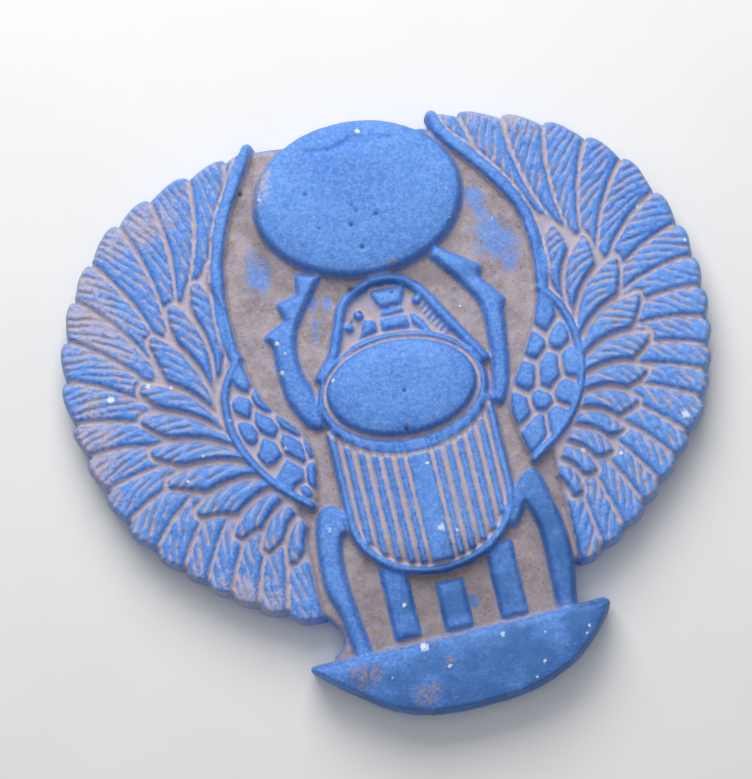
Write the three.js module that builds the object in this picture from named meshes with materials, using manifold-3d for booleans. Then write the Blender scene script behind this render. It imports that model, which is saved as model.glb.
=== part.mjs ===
// A winged scarab plaque, moulded in one piece: a sun disc above a beetle with spread
// falcon wings, standing on a boat-shaped foot. Millimetres, +X across the wings,
// +Y towards the disc, +Z out of the carved face. The flat back lies on z = 0, and the
// origin is in the middle of the plaque's width and height.
import * as THREE from "three";
import { mergeVertices } from "three/addons/utils/BufferGeometryUtils.js";
import Module from "manifold-3d";

// Heights of the carving above the back.
const GROUND = 6.4;
const WING_FLOOR = 7.3;
const FEATHER_TOP = 8.5;
const COVERT_TOP = 9.3;
const SCALE_FLOOR = 8.3;
const SCALE_TOP = 9.3;
const WING_RIDGE_TOP = 9.7;
const LEG_TOP = 9.1;
const TAIL_TOP = 8.6;
const FOOT_TOP = 10;
const DISC_TOP = 11.2;
const HEAD_FLOOR = 7.4;
const HEAD_TOP = 9.2;
const CHEST_RING_TOP = 9.8;
const CHEST_TOP = 12;
const SHELL_FLOOR = 8.2;
const SHELL_RIM_TOP = 9.4;

// The beetle's upright axis stands a little to the right of the plaque's middle.
const BODY_AXIS = 1.4;

// How far the edge of each kind of piece is rounded over, inwards from its outline.
const EDGE = {
  ground: 0.3, field: 0.4, scale: 0.5, shell: 0.4, stripe: 0.3, bar: 0.6, leg: 0.6,
  plate: 0.25, knob: 0.3, ring: 0.35,
};
const LEG_EDGE_DROP = 0.7;
// The wide rounded edges of the foot, the disc and the chest plate: inwards, down, facets.
const FOOT_BEVEL = [1.6, 1.4, 2];
const DISC_BEVEL = [8, 3.6, 4];
const CHEST_BEVEL = [4, 2.2, 3];
// How many sides stand for each round outline.
const SIDES = { disc: 32, chest: 24, scale: 8, knob: 6, shield: 16, shellDome: 12 };

// Ovals: centre, half width, half height and turn.
const DISC = [1.3, 37.3, 17.8, 13.6, -0.1];
const CHEST_PLATE = [1.3, 4.05, 12.8, 8.2, -0.07];
const CHEST_GROOVE = [1.3, 3.95, 13.6, 9.0, -0.07];
const CHEST_RING = [1.3, 3.3, 14.6, 10.2, -0.07];

// The wing case is a domed shield with a rim, one broad stripe and narrow ones beside it.
const SHELL = { halfWidth: 14.4, shoulder: 0, waist: -16.5, bottom: -27.9, rim: 1.2, crown: 1.6 };
const SHELL_DOME = { inside: 1.5, edge: 6, facets: 2 };
const STRIPE = { broad: 3.8, narrow: 1.5, first: 3.15, pitch: 2.07, perSide: 5, rise: 0.9, inside: 2 };

// Feather blades: how far the tip swells as a share of its length, which way it leans, the
// share of the width that a groove takes, and how far down its lower groove the tip ends.
// The tip's swelling starts and ends a little way round, so that it meets the sides at an
// angle.
const FEATHER = { swell: 0.2, lean: 0.72, gap: 0.05, slant: 0, lengthSteps: 2, tipSteps: 5 };
const COVERT = { swell: 0.25, lean: 0.75, gap: 0.05, slant: 0.22, lengthSteps: 2, tipSteps: 3 };
const TIP_ROUND = { from: 0.06, span: 0.88 };
const BLADE_EDGE = { inwards: 0.35, down: 0.45 };
// How far the blades run on under the row that lies over their roots.
const ROOT_REACH = 1.6;

const WING_RIDGE_WIDTH = 1.3;
// The smooth ridge just inside a wing's leading edge.
const LEADING_RIDGE = { away: 1, width: 2, top: 9.1 };

// The two wings differ a little, as hand-cut work does. Widths are those of the feathers
// along the tip line, from the shoulder to the foot; bow is how far the grooves swing
// towards the foot at the first and the last feather.
const LEFT_WING = {
  feathers: {
    tipLine: [
      [-14.2, 49.6], [-25.8, 47.4], [-39.2, 42.4], [-49.3, 31.5], [-53.6, 19],
      [-53.6, 9], [-49, -7], [-41.7, -16.8], [-30.9, -25.9], [-20, -30.9],
    ],
    rootLine: [
      [-22.6, 34.4], [-29.9, 31], [-35.8, 25.6], [-41.2, 17], [-43, 7.5],
      [-41.4, -2.6], [-36.3, -10], [-29, -16.8], [-20.4, -21.6],
    ],
    widths: [
      5, 6.9, 7.6, 6.8, 8.1, 6.8, 7, 6.9, 7.6, 5.9,
      6.7, 6.3, 6.7, 5.8, 4.5, 4.6, 4.8, 5.1, 6.5,
    ],
    bow: [1.4, 0],
  },
  coverts: {
    tipLine: [
      [-24.2, 32.4], [-27.6, 29.6], [-32.3, 27], [-37, 22.8], [-40.9, 15.2], [-42, 10],
      [-41.9, 4.3], [-40.6, -1.3], [-37.2, -7.3], [-31.7, -12.7], [-24.2, -19.3], [-20.5, -22.3],
    ],
    rootLine: [
      [-24.5, 15.3], [-28.6, 13.4], [-30.2, 9], [-29.6, 4.5], [-28, 0], [-25.6, -4.8],
      [-22.6, -9.3], [-19, -15.5],
    ],
    widths: [4.4, 5.4, 6.3, 8.5, 5.3, 5.7, 5.8, 6.9, 7.7, 5.3, 4.7, 4.8],
    bow: [2, 0.8],
  },
  scaleField: {
    outer: [
      [-24.4, 15.5], [-27.5, 11], [-28.4, 6.5], [-27.8, 1.5], [-25.7, -3.2],
      [-22.5, -7.6], [-18, -11.8],
    ],
    inner: [
      [-23.8, 15], [-22.7, 10], [-20.8, 6], [-17.3, 1.5], [-15.7, -2], [-15.6, -6], [-16.8, -11],
    ],
    // Each scale: x, y, half width, half height, turn.
    scales: [
      [-24.3, 11.4, 1.2, 2.3, -0.35], [-25.3, 7.3, 1.1, 2.2, 0.1], [-22.2, 7.2, 1, 2.2, 0.3],
      [-25.2, 2.6, 0.9, 2.1, 0.35], [-22.3, 3.3, 1.3, 2.5, 0.4], [-18.8, 2.5, 1, 2.4, 0.65],
      [-22.6, -1.2, 1.4, 2.4, 0.4], [-18.9, -1.6, 1.35, 2.7, 0.5], [-16.1, -2, 0.8, 2.2, 0],
      [-20, -5.5, 1.6, 2.3, 0.4], [-16.6, -6.7, 1, 2.2, -0.15], [-18.3, -9, 0.7, 1.3, 0.8],
    ],
  },
  leadingEdge: [
    [-14.2, 49.6], [-17.5, 44.5], [-21.5, 37.5], [-24, 28.5], [-24.6, 20], [-23.8, 15],
  ],
};

const RIGHT_WING = {
  feathers: {
    tipLine: [
      [16, 48.2], [21.2, 47.4], [35.1, 42.4], [46.6, 33.4], [53, 20.4], [54.4, 9],
      [53, -1], [50, -9.2], [43.3, -18], [32, -27.6], [23.3, -31.6],
    ],
    rootLine: [
      [26, 32.2], [31, 29.4], [35.8, 25.8], [41.5, 20], [44.2, 8.5],
      [42.8, -1.8], [38.5, -8.5], [32, -17], [23.5, -22.5],
    ],
    widths: [
      5.4, 7.6, 7.2, 7.6, 7.1, 7.9, 6.7, 6.1, 5.4, 5.4,
      4.7, 4.4, 4.5, 6.6, 4.5, 5, 4.5, 5.4, 4.8, 4.8,
    ],
    bow: [1.4, 0],
  },
  coverts: {
    tipLine: [
      [28, 27], [31.8, 25.3], [36.6, 22.4], [40.9, 17.8], [43.4, 10.8], [43.8, 3.8],
      [42.3, -2], [39.5, -6.6], [33.8, -13.8], [27.2, -18.8], [24.5, -22],
    ],
    rootLine: [
      [28, 15.4], [30.4, 13.6], [32, 10.5], [32.5, 5], [32.4, 1], [31.6, -2.5], [30.2, -5.8],
      [28.3, -8.3], [25.4, -12], [22.8, -17],
    ],
    widths: [4.2, 5.6, 6.3, 7.4, 7, 6, 5.4, 5.4, 3.8, 4.4, 3.8, 4.2],
    bow: [2, 0.8],
  },
  scaleField: {
    outer: [
      [27.8, 15.2], [30.2, 12], [31.5, 8], [31.9, 3.5], [31, -1.5], [29, -5.5],
      [25.5, -9.2], [20.2, -12.8],
    ],
    inner: [
      [27.2, 14.8], [25.3, 10], [22.8, 5.5], [19.8, 1], [18.2, -2.5], [18.3, -6.5], [19.3, -11.5],
    ],
    scales: [
      [27, 10.7, 1.4, 2.9, -0.12], [24.6, 6, 1.6, 2.4, -0.4], [28.6, 6.1, 1.2, 1.8, -0.3],
      [22, 1.1, 1.8, 2.5, -0.35], [26.1, 1.1, 1.75, 2.7, -0.4], [29.4, 1.6, 1.2, 1.8, -0.1],
      [19.8, -3.6, 1.7, 2.5, 0.05], [23.5, -3.3, 1.6, 1.6, -0.5], [27.7, -2.8, 1.4, 1.7, -0.15],
      [21, -8.2, 1.4, 2.5, -0.7], [25.5, -7, 1.3, 1.6, -0.4],
    ],
  },
  leadingEdge: [
    [16, 48.2], [17, 44.5], [21.5, 39], [25.5, 33], [27.8, 27], [28.2, 20], [27.2, 14.8],
  ],
};

// The flat ground behind the beetle, from the wing tips down to the foot.
const GROUND_OUTLINE = [
  [[-14.2, 49.6], [-25, 40], [-31, 20]],
  [[-31, 20], [-30, -12]],
  [[-30, -12], [-26, -24], [-20, -30.6]],
  [[-20, -30.6], [-18.3, -33.2], [-18.2, -35.8], [-20.2, -37.4]],
  [[-20.2, -37.4], [-20, -42]],
  [[-20, -42], [20.9, -42]],
  [[20.9, -42], [20.9, -37.8]],
  [[20.9, -37.8], [22.6, -31.6]],
  [[22.6, -31.6], [28, -26], [32, -12]],
  [[32, -12], [34, 20]],
  [[34, 20], [26, 40], [14.9, 46.9]],
  [[14.9, 46.9], [-14.2, 49.6]],
];

const FOOT_OUTLINE = [
  [[-24.2, -38], [26.2, -38.1]],
  [[26.2, -38.1], [26.7, -39.2], [24.4, -42.6], [19, -47.2], [11, -50.2], [2, -50.9],
    [-6, -50.4], [-12.5, -48.2], [-18.5, -44], [-24, -39.4], [-24.2, -38]],
];

// Two forelegs with two spurs each, then two hind legs that reach down to the foot.
const LEG_OUTLINES = [
  [
    [[-7.7, 26], [-10.5, 22.5], [-14, 17.5], [-14.8, 12], [-13.4, 6.5], [-12.6, 3], [-12.9, 0.4]],
    [[-12.9, 0.4], [-15.6, 1.8], [-18, 7.5], [-18.2, 16.2]],
    [[-18.2, 16.2], [-19.2, 17.8]],
    [[-19.2, 17.8], [-15.2, 19.8]],
    [[-15.2, 19.8], [-16, 22.8]],
    [[-16, 22.8], [-12.4, 23.6]],
    [[-12.4, 23.6], [-11.6, 27]],
    [[-11.6, 27], [-7.7, 26]],
  ],
  [
    [[11, 25], [14.5, 20.3], [17.5, 15], [17.6, 9], [16.8, 3], [15.5, -1.3]],
    [[15.5, -1.3], [17.2, -2.2], [19, 1], [20.3, 8], [21, 13.4]],
    [[21, 13.4], [21.6, 15]],
    [[21.6, 15], [18.5, 19.3]],
    [[18.5, 19.3], [19, 21.4]],
    [[19, 21.4], [14, 25]],
    [[14, 25], [12.4, 26.6]],
    [[12.4, 26.6], [11, 25]],
  ],
  [
    [[-12.6, -14.4], [-15.8, -12.6], [-18, -15.6], [-19, -25], [-17.4, -31], [-16.4, -39]],
    [[-16.4, -39], [-13.8, -39]],
    [[-13.8, -39], [-15.3, -25], [-14.6, -18.6], [-13.2, -17.6]],
    [[-13.2, -17.6], [-12.6, -14.4]],
  ],
  [
    [[15, -17.4], [17.4, -15.4], [19.8, -14.7], [21.2, -19], [22.5, -28.5], [20.9, -39]],
    [[20.9, -39], [18.2, -39]],
    [[18.2, -39], [18.4, -25], [17, -19.6]],
    [[17, -19.6], [14.4, -23]],
    [[14.4, -23], [12.6, -22]],
    [[12.6, -22], [15, -17.4]],
  ],
];

// Left side, right side, top and bottom of the three tail bars.
const TAIL_BARS = [
  [-9.6, -5.1, -24.5, -37],
  [-1, 3.8, -29.2, -37.6],
  [8.5, 13.2, -24.8, -37.8],
];

const HEAD_OUTLINE = [
  [[-12.8, 9], [-8.4, 12.6], [-6.6, 18], [-3.4, 21.6], [2.5, 22.9], [7.4, 20.4], [11.4, 14.4],
    [15.6, 7]],
  [[15.6, 7], [-12.8, 9]],
];
const HEAD_RIDGES = [
  [[-11.6, 8.8], [-8.8, 12], [-7, 16], [-5, 20.4], [-1, 22.5]],
  [[0.4, 22.9], [4.4, 22.5], [8, 19.8], [11.4, 14], [16, 6]],
];
const HEAD_RIDGE_WIDTH = 1.4;
// The flared crown, the neck and the three cheek plates.
const HEAD_PLATES = [
  [[-0.4, 20.4], [0, 21.5], [5.5, 21.3], [5.7, 20.2], [4.7, 18], [0.8, 18]],
  [[0.8, 17.7], [4.5, 17.7], [4.7, 16.7], [0.6, 16.7]],
  [[0.4, 16.3], [5, 16.2], [5.1, 13.8], [0.3, 14.2]],
  [[-2.4, 16.9], [-0.5, 16.6], [-0.5, 14.3], [-3.9, 13.7]],
  [[5.5, 16.5], [7.2, 15], [8.9, 11.8], [7.4, 11.9], [5.5, 14.4]],
];
const PLATE_TOP = 8.9;
const KNOBS = [[-3, 17.8], [-5, 16.1], [7.2, 18.1]];
const KNOB = { halfWidth: 0.8, halfHeight: 0.9, top: 8.7 };

// How far each prism runs below the back before the back is cut flat, and the length of
// the facets that make a round stretch.
const BELOW_BACK = 9;
const BACK_CUTTER = { width: 200, depth: 50 };
const ROUND_STEP = 3.7;

const wasm = await Module();
wasm.setup();

function vectors(points) {
  return points.map(([x, y]) => new THREE.Vector2(x, y));
}

function smooth(points) {
  return new THREE.SplineCurve(vectors(points));
}

// A stretch of two points is straight, a longer one is a smooth curve through its points.
// Each stretch starts where the one before it ends.
function outline(stretches) {
  const points = [];
  for (const stretch of stretches) {
    const curve = smooth(stretch);
    const round = Math.max(2, Math.round(curve.getLength() / ROUND_STEP));
    points.push(...curve.getSpacedPoints(stretch.length === 2 ? 1 : round).slice(0, -1));
  }
  return points;
}

function oval(x, y, halfWidth, halfHeight, turn, sides) {
  const curve = new THREE.EllipseCurve(x, y, halfWidth, halfHeight, 0, 2 * Math.PI, false, turn);
  return curve.getPoints(sides).slice(0, -1);
}

function solid(geometry) {
  geometry.deleteAttribute("normal");
  geometry.deleteAttribute("uv");
  const merged = mergeVertices(geometry, 1e-4);
  return new wasm.Manifold(
    new wasm.Mesh({
      numProp: 3,
      vertProperties: new Float32Array(merged.attributes.position.array),
      triVerts: new Uint32Array(merged.index.array),
    }),
  );
}

// A prism from below the back up to `top`. Its upper edge is rounded over: `edge` inwards
// and `drop` down, in `facets` steps.
function raised(points, top, edge, drop = edge, facets = 1) {
  const geometry = new THREE.ExtrudeGeometry(new THREE.Shape(points), {
    depth: BELOW_BACK + top - drop,
    bevelSize: edge,
    bevelOffset: -edge,
    bevelThickness: drop,
    bevelSegments: facets,
  });
  return solid(geometry.translate(0, 0, -BELOW_BACK));
}

// A plain cutter with everything above `floor` inside the outline.
function hollow(points, floor) {
  const geometry = new THREE.ExtrudeGeometry(new THREE.Shape(points), {
    depth: CHEST_TOP,
    bevelEnabled: false,
  });
  return solid(geometry.translate(0, 0, floor));
}

// A ridge of even width along a smooth line.
function ridge(line, width, top) {
  const middle = smooth(line);
  const pieces = Math.round(middle.getLength() / ROUND_STEP);
  const left = [];
  const right = [];
  for (let i = 0; i <= pieces; i++) {
    const at = middle.getPointAt(i / pieces);
    const along = middle.getTangentAt(i / pieces);
    const across = new THREE.Vector2(-along.y, along.x).multiplyScalar(width / 2);
    left.push(at.clone().add(across));
    right.unshift(at.clone().sub(across));
  }
  return raised([...left, ...right], top, width / 4);
}

// A line moved to the wing's side of a leading edge that runs from the tip to the root.
function beside(line, away) {
  const curve = smooth(line);
  const aside = away * Math.sign(line[0][0]);
  return line.map(([x, y], i) => {
    const along = curve.getTangent(i / (line.length - 1));
    return [x - along.y * aside, y + along.x * aside];
  });
}

// The grooves that part a row of feathers, each from the tip line to the root line.
function grooves({ tipLine, rootLine, widths, bow }) {
  const tips = smooth(tipLine);
  const roots = smooth(rootLine);
  const total = widths.reduce((sum, width) => sum + width, 0);
  const lines = [];
  let reached = 0;
  for (let i = 0; i <= widths.length; i++) {
    const share = i / widths.length;
    const tip = tips.getPointAt(Math.min(1, reached / total));
    const root = roots.getPointAt(share);
    const along = root.clone().sub(tip).normalize();
    root.addScaledVector(along, ROOT_REACH);
    const swing = -2 * Math.sign(tip.x) * THREE.MathUtils.lerp(bow[0], bow[1], share);
    const middle = tip.clone().lerp(root, 0.5);
    middle.x -= along.y * swing;
    middle.y += along.x * swing;
    lines.push(new THREE.QuadraticBezierCurve(tip, middle, root));
    reached += widths[i];
  }
  return lines;
}

// One blade between two grooves, with a round leaning tip that comes back to the lower groove
// some way down it. The first one in a row has no groove on its upper side.
function blade(upper, lower, kind, top, isFirst) {
  const { swell, lean, gap, slant, lengthSteps, tipSteps } = kind;
  const upperGap = isFirst ? 0 : gap;
  const between = (across, down) => upper.getPoint(down).lerp(lower.getPoint(down), across);
  const start = between(upperGap, 0);
  const end = between(1 - gap, slant);
  const outward = upper.v0.clone().sub(upper.v2).normalize();
  const reach = swell * start.distanceTo(end);
  const points = [];
  for (let k = lengthSteps; k > 0; k--) {
    points.push(between(upperGap, k / lengthSteps));
  }
  for (let k = 0; k <= tipSteps; k++) {
    const share = k / tipSteps;
    const round = TIP_ROUND.from + TIP_ROUND.span * share;
    const bulge = reach * Math.sin(Math.PI * Math.pow(round, lean));
    points.push(start.clone().lerp(end, share).addScaledVector(outward, bulge));
  }
  for (let k = 1; k <= lengthSteps; k++) {
    points.push(between(1 - gap, THREE.MathUtils.lerp(slant, 1, k / lengthSteps)));
  }
  return raised(points, top, BLADE_EDGE.inwards, BLADE_EDGE.down);
}

function featherRow(row, kind, top) {
  const lines = grooves(row);
  return row.widths.map((width, i) => blade(lines[i], lines[i + 1], kind, top, i === 0));
}

function wing({ feathers, coverts, scaleField, leadingEdge }) {
  const { outer, inner } = scaleField;
  const foot = inner.at(-1);
  const valleys = grooves(feathers).map((line) => line.v0);
  const corner = new THREE.Vector2(valleys.at(-1).x, foot[1]);
  const floor = [...outline([leadingEdge, inner]), ...vectors([foot]), corner];
  const field = outline([outer, [outer.at(-1), foot], inner.toReversed(), [inner[0], outer[0]]]);
  const low = [BODY_AXIS, foot[1]];
  const high = [BODY_AXIS, leadingEdge[0][1]];
  const beyond = outline([leadingEdge, inner, [foot, low], [low, high]]);
  const blades = [
    raised([...floor, ...valleys.toReversed()], WING_FLOOR, EDGE.ground),
    ...featherRow(feathers, FEATHER, FEATHER_TOP),
    ...featherRow(coverts, COVERT, COVERT_TOP),
  ].reduce((whole, piece) => whole.add(piece));
  return [
    blades.subtract(hollow(beyond, GROUND)),
    ridge(beside(leadingEdge, LEADING_RIDGE.away), LEADING_RIDGE.width, LEADING_RIDGE.top),
    raised(field, SCALE_FLOOR, EDGE.field),
    ridge(outer, WING_RIDGE_WIDTH, WING_RIDGE_TOP),
    ...scaleField.scales.map((scale) => raised(oval(...scale, SIDES.scale), SCALE_TOP, EDGE.scale)),
  ];
}

// Lowest y of the shield at a place across it, `inside` mm in from its rim.
function shellEdge(x, inside) {
  const across = Math.min(1, Math.abs(x - BODY_AXIS) / (SHELL.halfWidth - inside));
  const depth = SHELL.waist - SHELL.bottom - inside;
  return SHELL.waist - depth * Math.sqrt(1 - across * across);
}

function shield(inside, sides) {
  const half = SHELL.halfWidth - inside;
  const points = [];
  for (let k = 0; k <= sides; k++) {
    const x = BODY_AXIS - half * Math.cos((Math.PI * k) / sides);
    points.push([x, shellEdge(x, inside)]);
  }
  points.push([BODY_AXIS + half, SHELL.shoulder], [BODY_AXIS - half, SHELL.shoulder]);
  return vectors(points);
}

function wingCase() {
  const rim = raised(shield(0, SIDES.shield), SHELL_RIM_TOP, EDGE.shell);
  const inside = hollow(shield(SHELL.rim, SIDES.shield), SHELL_FLOOR);
  const field = shield(SHELL_DOME.inside, SIDES.shellDome);
  const crownTop = SHELL_FLOOR + SHELL.crown;
  const dome = raised(field, crownTop, SHELL_DOME.edge, SHELL.crown, SHELL_DOME.facets);
  const stripes = [[BODY_AXIS, STRIPE.broad]];
  for (let k = 0; k < STRIPE.perSide; k++) {
    const away = STRIPE.first + k * STRIPE.pitch;
    stripes.push([BODY_AXIS - away, STRIPE.narrow], [BODY_AXIS + away, STRIPE.narrow]);
  }
  const bars = stripes.map(([x, width]) => {
    const across = (x - BODY_AXIS) / SHELL.halfWidth;
    const top = SHELL_FLOOR + SHELL.crown * (1 - across * across) + STRIPE.rise;
    const bottom = shellEdge(x, STRIPE.inside);
    const left = x - width / 2;
    const right = x + width / 2;
    const corners = [[left, SHELL.shoulder], [left, bottom], [right, bottom], [right, SHELL.shoulder]];
    return raised(vectors(corners), top, EDGE.stripe);
  });
  return [rim.subtract(inside), dome, ...bars];
}

function head() {
  return [
    raised(outline(HEAD_OUTLINE), HEAD_FLOOR, EDGE.ground),
    ...HEAD_RIDGES.map((line) => ridge(line, HEAD_RIDGE_WIDTH, HEAD_TOP)),
    ...HEAD_PLATES.map((corners) => raised(vectors(corners), PLATE_TOP, EDGE.plate)),
    ...KNOBS.map(([x, y]) => {
      const points = oval(x, y, KNOB.halfWidth, KNOB.halfHeight, 0, SIDES.knob);
      return raised(points, KNOB.top, EDGE.knob);
    }),
  ];
}

function tailBars() {
  return TAIL_BARS.map(([left, right, top, bottom]) => {
    const corners = [[left, bottom], [right, bottom], [right, top], [left, top]];
    return raised(vectors(corners), TAIL_TOP, EDGE.bar);
  });
}

function plaque() {
  const lower = [
    raised(outline(GROUND_OUTLINE), GROUND, EDGE.ground),
    ...wing(LEFT_WING),
    ...wing(RIGHT_WING),
    raised(outline(FOOT_OUTLINE), FOOT_TOP, ...FOOT_BEVEL),
    ...tailBars(),
    ...wingCase(),
    ...LEG_OUTLINES.map((leg) => raised(outline(leg), LEG_TOP, EDGE.leg, LEG_EDGE_DROP)),
    ...head(),
    raised(oval(...CHEST_RING, SIDES.chest), CHEST_RING_TOP, EDGE.ring),
  ].reduce((whole, piece) => whole.add(piece));
  const carved = lower
    .subtract(hollow(oval(...CHEST_GROOVE, SIDES.chest), SHELL_FLOOR))
    .add(raised(oval(...CHEST_PLATE, SIDES.chest), CHEST_TOP, ...CHEST_BEVEL))
    .add(raised(oval(...DISC, SIDES.disc), DISC_TOP, ...DISC_BEVEL));
  const { width, depth } = BACK_CUTTER;
  const belowBack = new THREE.BoxGeometry(width, width, depth).translate(0, 0, -depth / 2);
  return carved.subtract(solid(belowBack));
}

function meshOf(name, body, material) {
  const { vertProperties, triVerts } = body.getMesh();
  const geometry = new THREE.BufferGeometry();
  geometry.setAttribute("position", new THREE.BufferAttribute(vertProperties, 3));
  geometry.setIndex(new THREE.BufferAttribute(triVerts, 1));
  geometry.computeBoundingBox();
  const { x, y } = geometry.boundingBox.getCenter(new THREE.Vector3());
  geometry.translate(-x, -y, 0);
  const mesh = new THREE.Mesh(geometry, material);
  mesh.name = name;
  return mesh;
}

const frit = new THREE.MeshStandardMaterial({ color: 0x5b8fdf, roughness: 0.75, metalness: 0 });
const scarab = new THREE.Group();
scarab.add(meshOf("winged_scarab", plaque(), frit));

export default scarab;
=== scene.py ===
# A winged scarab plaque of matt blue frit, lying on its flat back on a pale table.
#
# The plaque is one moulded piece. Its layout is in millimetres: x across the wings, y from
# the boat-shaped foot to the sun disc, z out of the carved face, with the back on z = 0.
import math

import bpy
import numpy as np
from mathutils import Matrix, Vector, geometry


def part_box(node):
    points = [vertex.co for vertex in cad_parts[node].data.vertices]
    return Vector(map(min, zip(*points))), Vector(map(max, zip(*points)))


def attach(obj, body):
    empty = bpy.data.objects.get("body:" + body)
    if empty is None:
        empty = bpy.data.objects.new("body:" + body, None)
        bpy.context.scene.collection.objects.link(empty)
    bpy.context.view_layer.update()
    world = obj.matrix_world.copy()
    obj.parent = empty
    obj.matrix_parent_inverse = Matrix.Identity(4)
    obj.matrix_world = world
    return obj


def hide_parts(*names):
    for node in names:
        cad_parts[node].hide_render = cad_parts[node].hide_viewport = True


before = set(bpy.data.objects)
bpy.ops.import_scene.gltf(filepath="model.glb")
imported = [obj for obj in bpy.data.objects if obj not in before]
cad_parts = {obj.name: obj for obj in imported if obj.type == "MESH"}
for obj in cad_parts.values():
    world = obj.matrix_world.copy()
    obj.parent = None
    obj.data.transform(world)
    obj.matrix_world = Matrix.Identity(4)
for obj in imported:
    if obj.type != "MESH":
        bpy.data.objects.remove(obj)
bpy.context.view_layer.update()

MM = 0.001
BOX_LOW, BOX_HIGH = [np.array(corner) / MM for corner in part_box("winged_scarab")]

# ---------------------------------------------------------------- sizes of the carving
# The step of the grid on which the face is worked out, then heights above the back, all in mm.
FACE_PITCH = 0.24
RIM_HEIGHT = 5.6
GROUND = 6.8
WING_FLOOR = 7.9
FEATHER_TOP = 8.7
COVERT_TOP = 9.35
SCALE_FLOOR = 8.1
SCALE_TOP = 9.4
WING_RIDGE_TOP = 9.8
LEG_TOP = 8.9
TAIL_TOP = 8.1
HEAD_FLOOR = 7.4
HEAD_TOP = 9.4
CHEST_RING_TOP = 9.9
CHEST_GROOVE_FLOOR = 8.7
SHELL_FLOOR = 8.2
SHELL_RIM_TOP = 9.5
# Rounded tops: height at the outline, height inside it, and the mm over which they climb.
FOOT_DOME = [9.2, 10.1, 5]
CHEST_DOME = [10.5, float(BOX_HIGH[2]), 6]
DISC_DOME = [8.6, 11.3, 11]
# The mm over which each piece climbs to its top, or each cut falls to its floor.
EDGE = {
    "ground": 0.8, "wing": 0.8, "blade": 0.7, "trench": 0.6, "beyond": 0.5, "field": 0.6,
    "scale": 0.6, "foot": 0.7, "bar": 0.8, "leg": 1.1, "shell": 0.5, "shell_cut": 0.6,
    "shell_dome": 4, "stripe": 0.5, "head": 0.5, "plate": 0.8, "knob": 0.6, "ring": 0.7,
    "groove": 0.5, "chest": 0.6, "disc": 1.0,
}
# How far the blue of some pieces spreads down past their outline, in mm.
SKIRT = {
    "plain": 0.12, "blade": -0.05, "stripe": -0.05, "scale": 0.1, "foot": 0.3, "bar": 0.25,
    "leg": 0.2, "disc": 0.3,
}
# The legs are this much wider than their outlines.
LEG_GROWTH = 0.3
# How far inside the plaque's own outline the rim is worn, and on the feathers paler with
# painted highlight, and how blue it stays.
RIM_REACH = 0.8
RIM_BLUE = 0.75

BODY_AXIS = 1.4

# Ovals: the place of the middle, half the width, half the height and the turn in radians.
DISC = [1.5, 37.4, 18.0, 13.65, -0.085]
CHEST_PLATE = [1.3, 4.05, 12.8, 8.2, -0.07]
CHEST_GROOVE = [1.3, 3.95, 13.6, 9.0, -0.07]
CHEST_RING = [1.3, 3.3, 14.6, 10.2, -0.07]
# The thin soil line round the lower half of the chest ring: how far out it runs, its width, its
# depth, the share of its blue that is lost, and the sides of the oval where it starts and ends.
CHEST_SEAM = {"away": 0.5, "width": 0.9, "depth": 0.35, "soil": 0.9, "start": 36, "end": 61}

# The wing case: its rim's width, how much the ground is domed, and how far in from its outline
# the dome and the stripes start.
SHELL = {
    "half_width": 14.4, "shoulder": 0, "waist": -16.5, "bottom": -27.9, "rim": 1.3, "crown": 1.6,
    "dome_inside": 1.6, "stripe_inside": 1.8,
}
STRIPE = {"broad": 4.2, "narrow": 1.5, "first": 3.15, "pitch": 2.07, "per_side": 5, "rise": 0.75}

# Feather blades: how far the tip swells past the row's tip line as a share of its width, which
# way it leans, how blunt its corners and how full its curve are, where its shoulder starts, the
# share of the width taken by the grooves at the tip and at the root, the plain band along the
# lower side that the barbs don't cross, and how far the grooves run on past the root line.
FEATHER = {
    "swell": 0.2, "lean": 0.72, "blunt": 0.06, "full": 1, "shoulder": 0, "gap": 0.035,
    "root_gap": 0.035, "plain_band": 1.1, "root_reach": 3.0,
}
COVERT = {
    "swell": 0.38, "lean": 0.75, "blunt": 0, "full": 0.6, "shoulder": 0.05, "gap": 0.06,
    "root_gap": 0.15, "plain_band": 1.1, "root_reach": 0.2,
}
COVERT_TRENCH = 0.8
# The face of a blade: its height at the sides, from its row's top, how much it rises between
# them, and how far the crest leans down, so that each blade lies over the next one.
CROWN = {"side": -0.15, "rise": 0.35, "lean": 1.3}
# Scales: width of the gaps between them, how far past its oval each may swell, as a share of the
# oval, the mm that a whole share stands for there, and the plain border of the field.
SCALE = {"gap": 0.75, "swell": 1.75, "steep": 1.6, "border": 0.25}
# The smooth ridge just inside a wing's leading edge, and the soil groove on its inner side.
LEADING_RIDGE = {"away": 1.0, "width": 2.1, "rise": 0.3}
LEADING_GROOVE = {"away": 2.1, "width": 0.9, "depth": 0.5}
WING_RIDGE_WIDTH = 1.5

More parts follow.
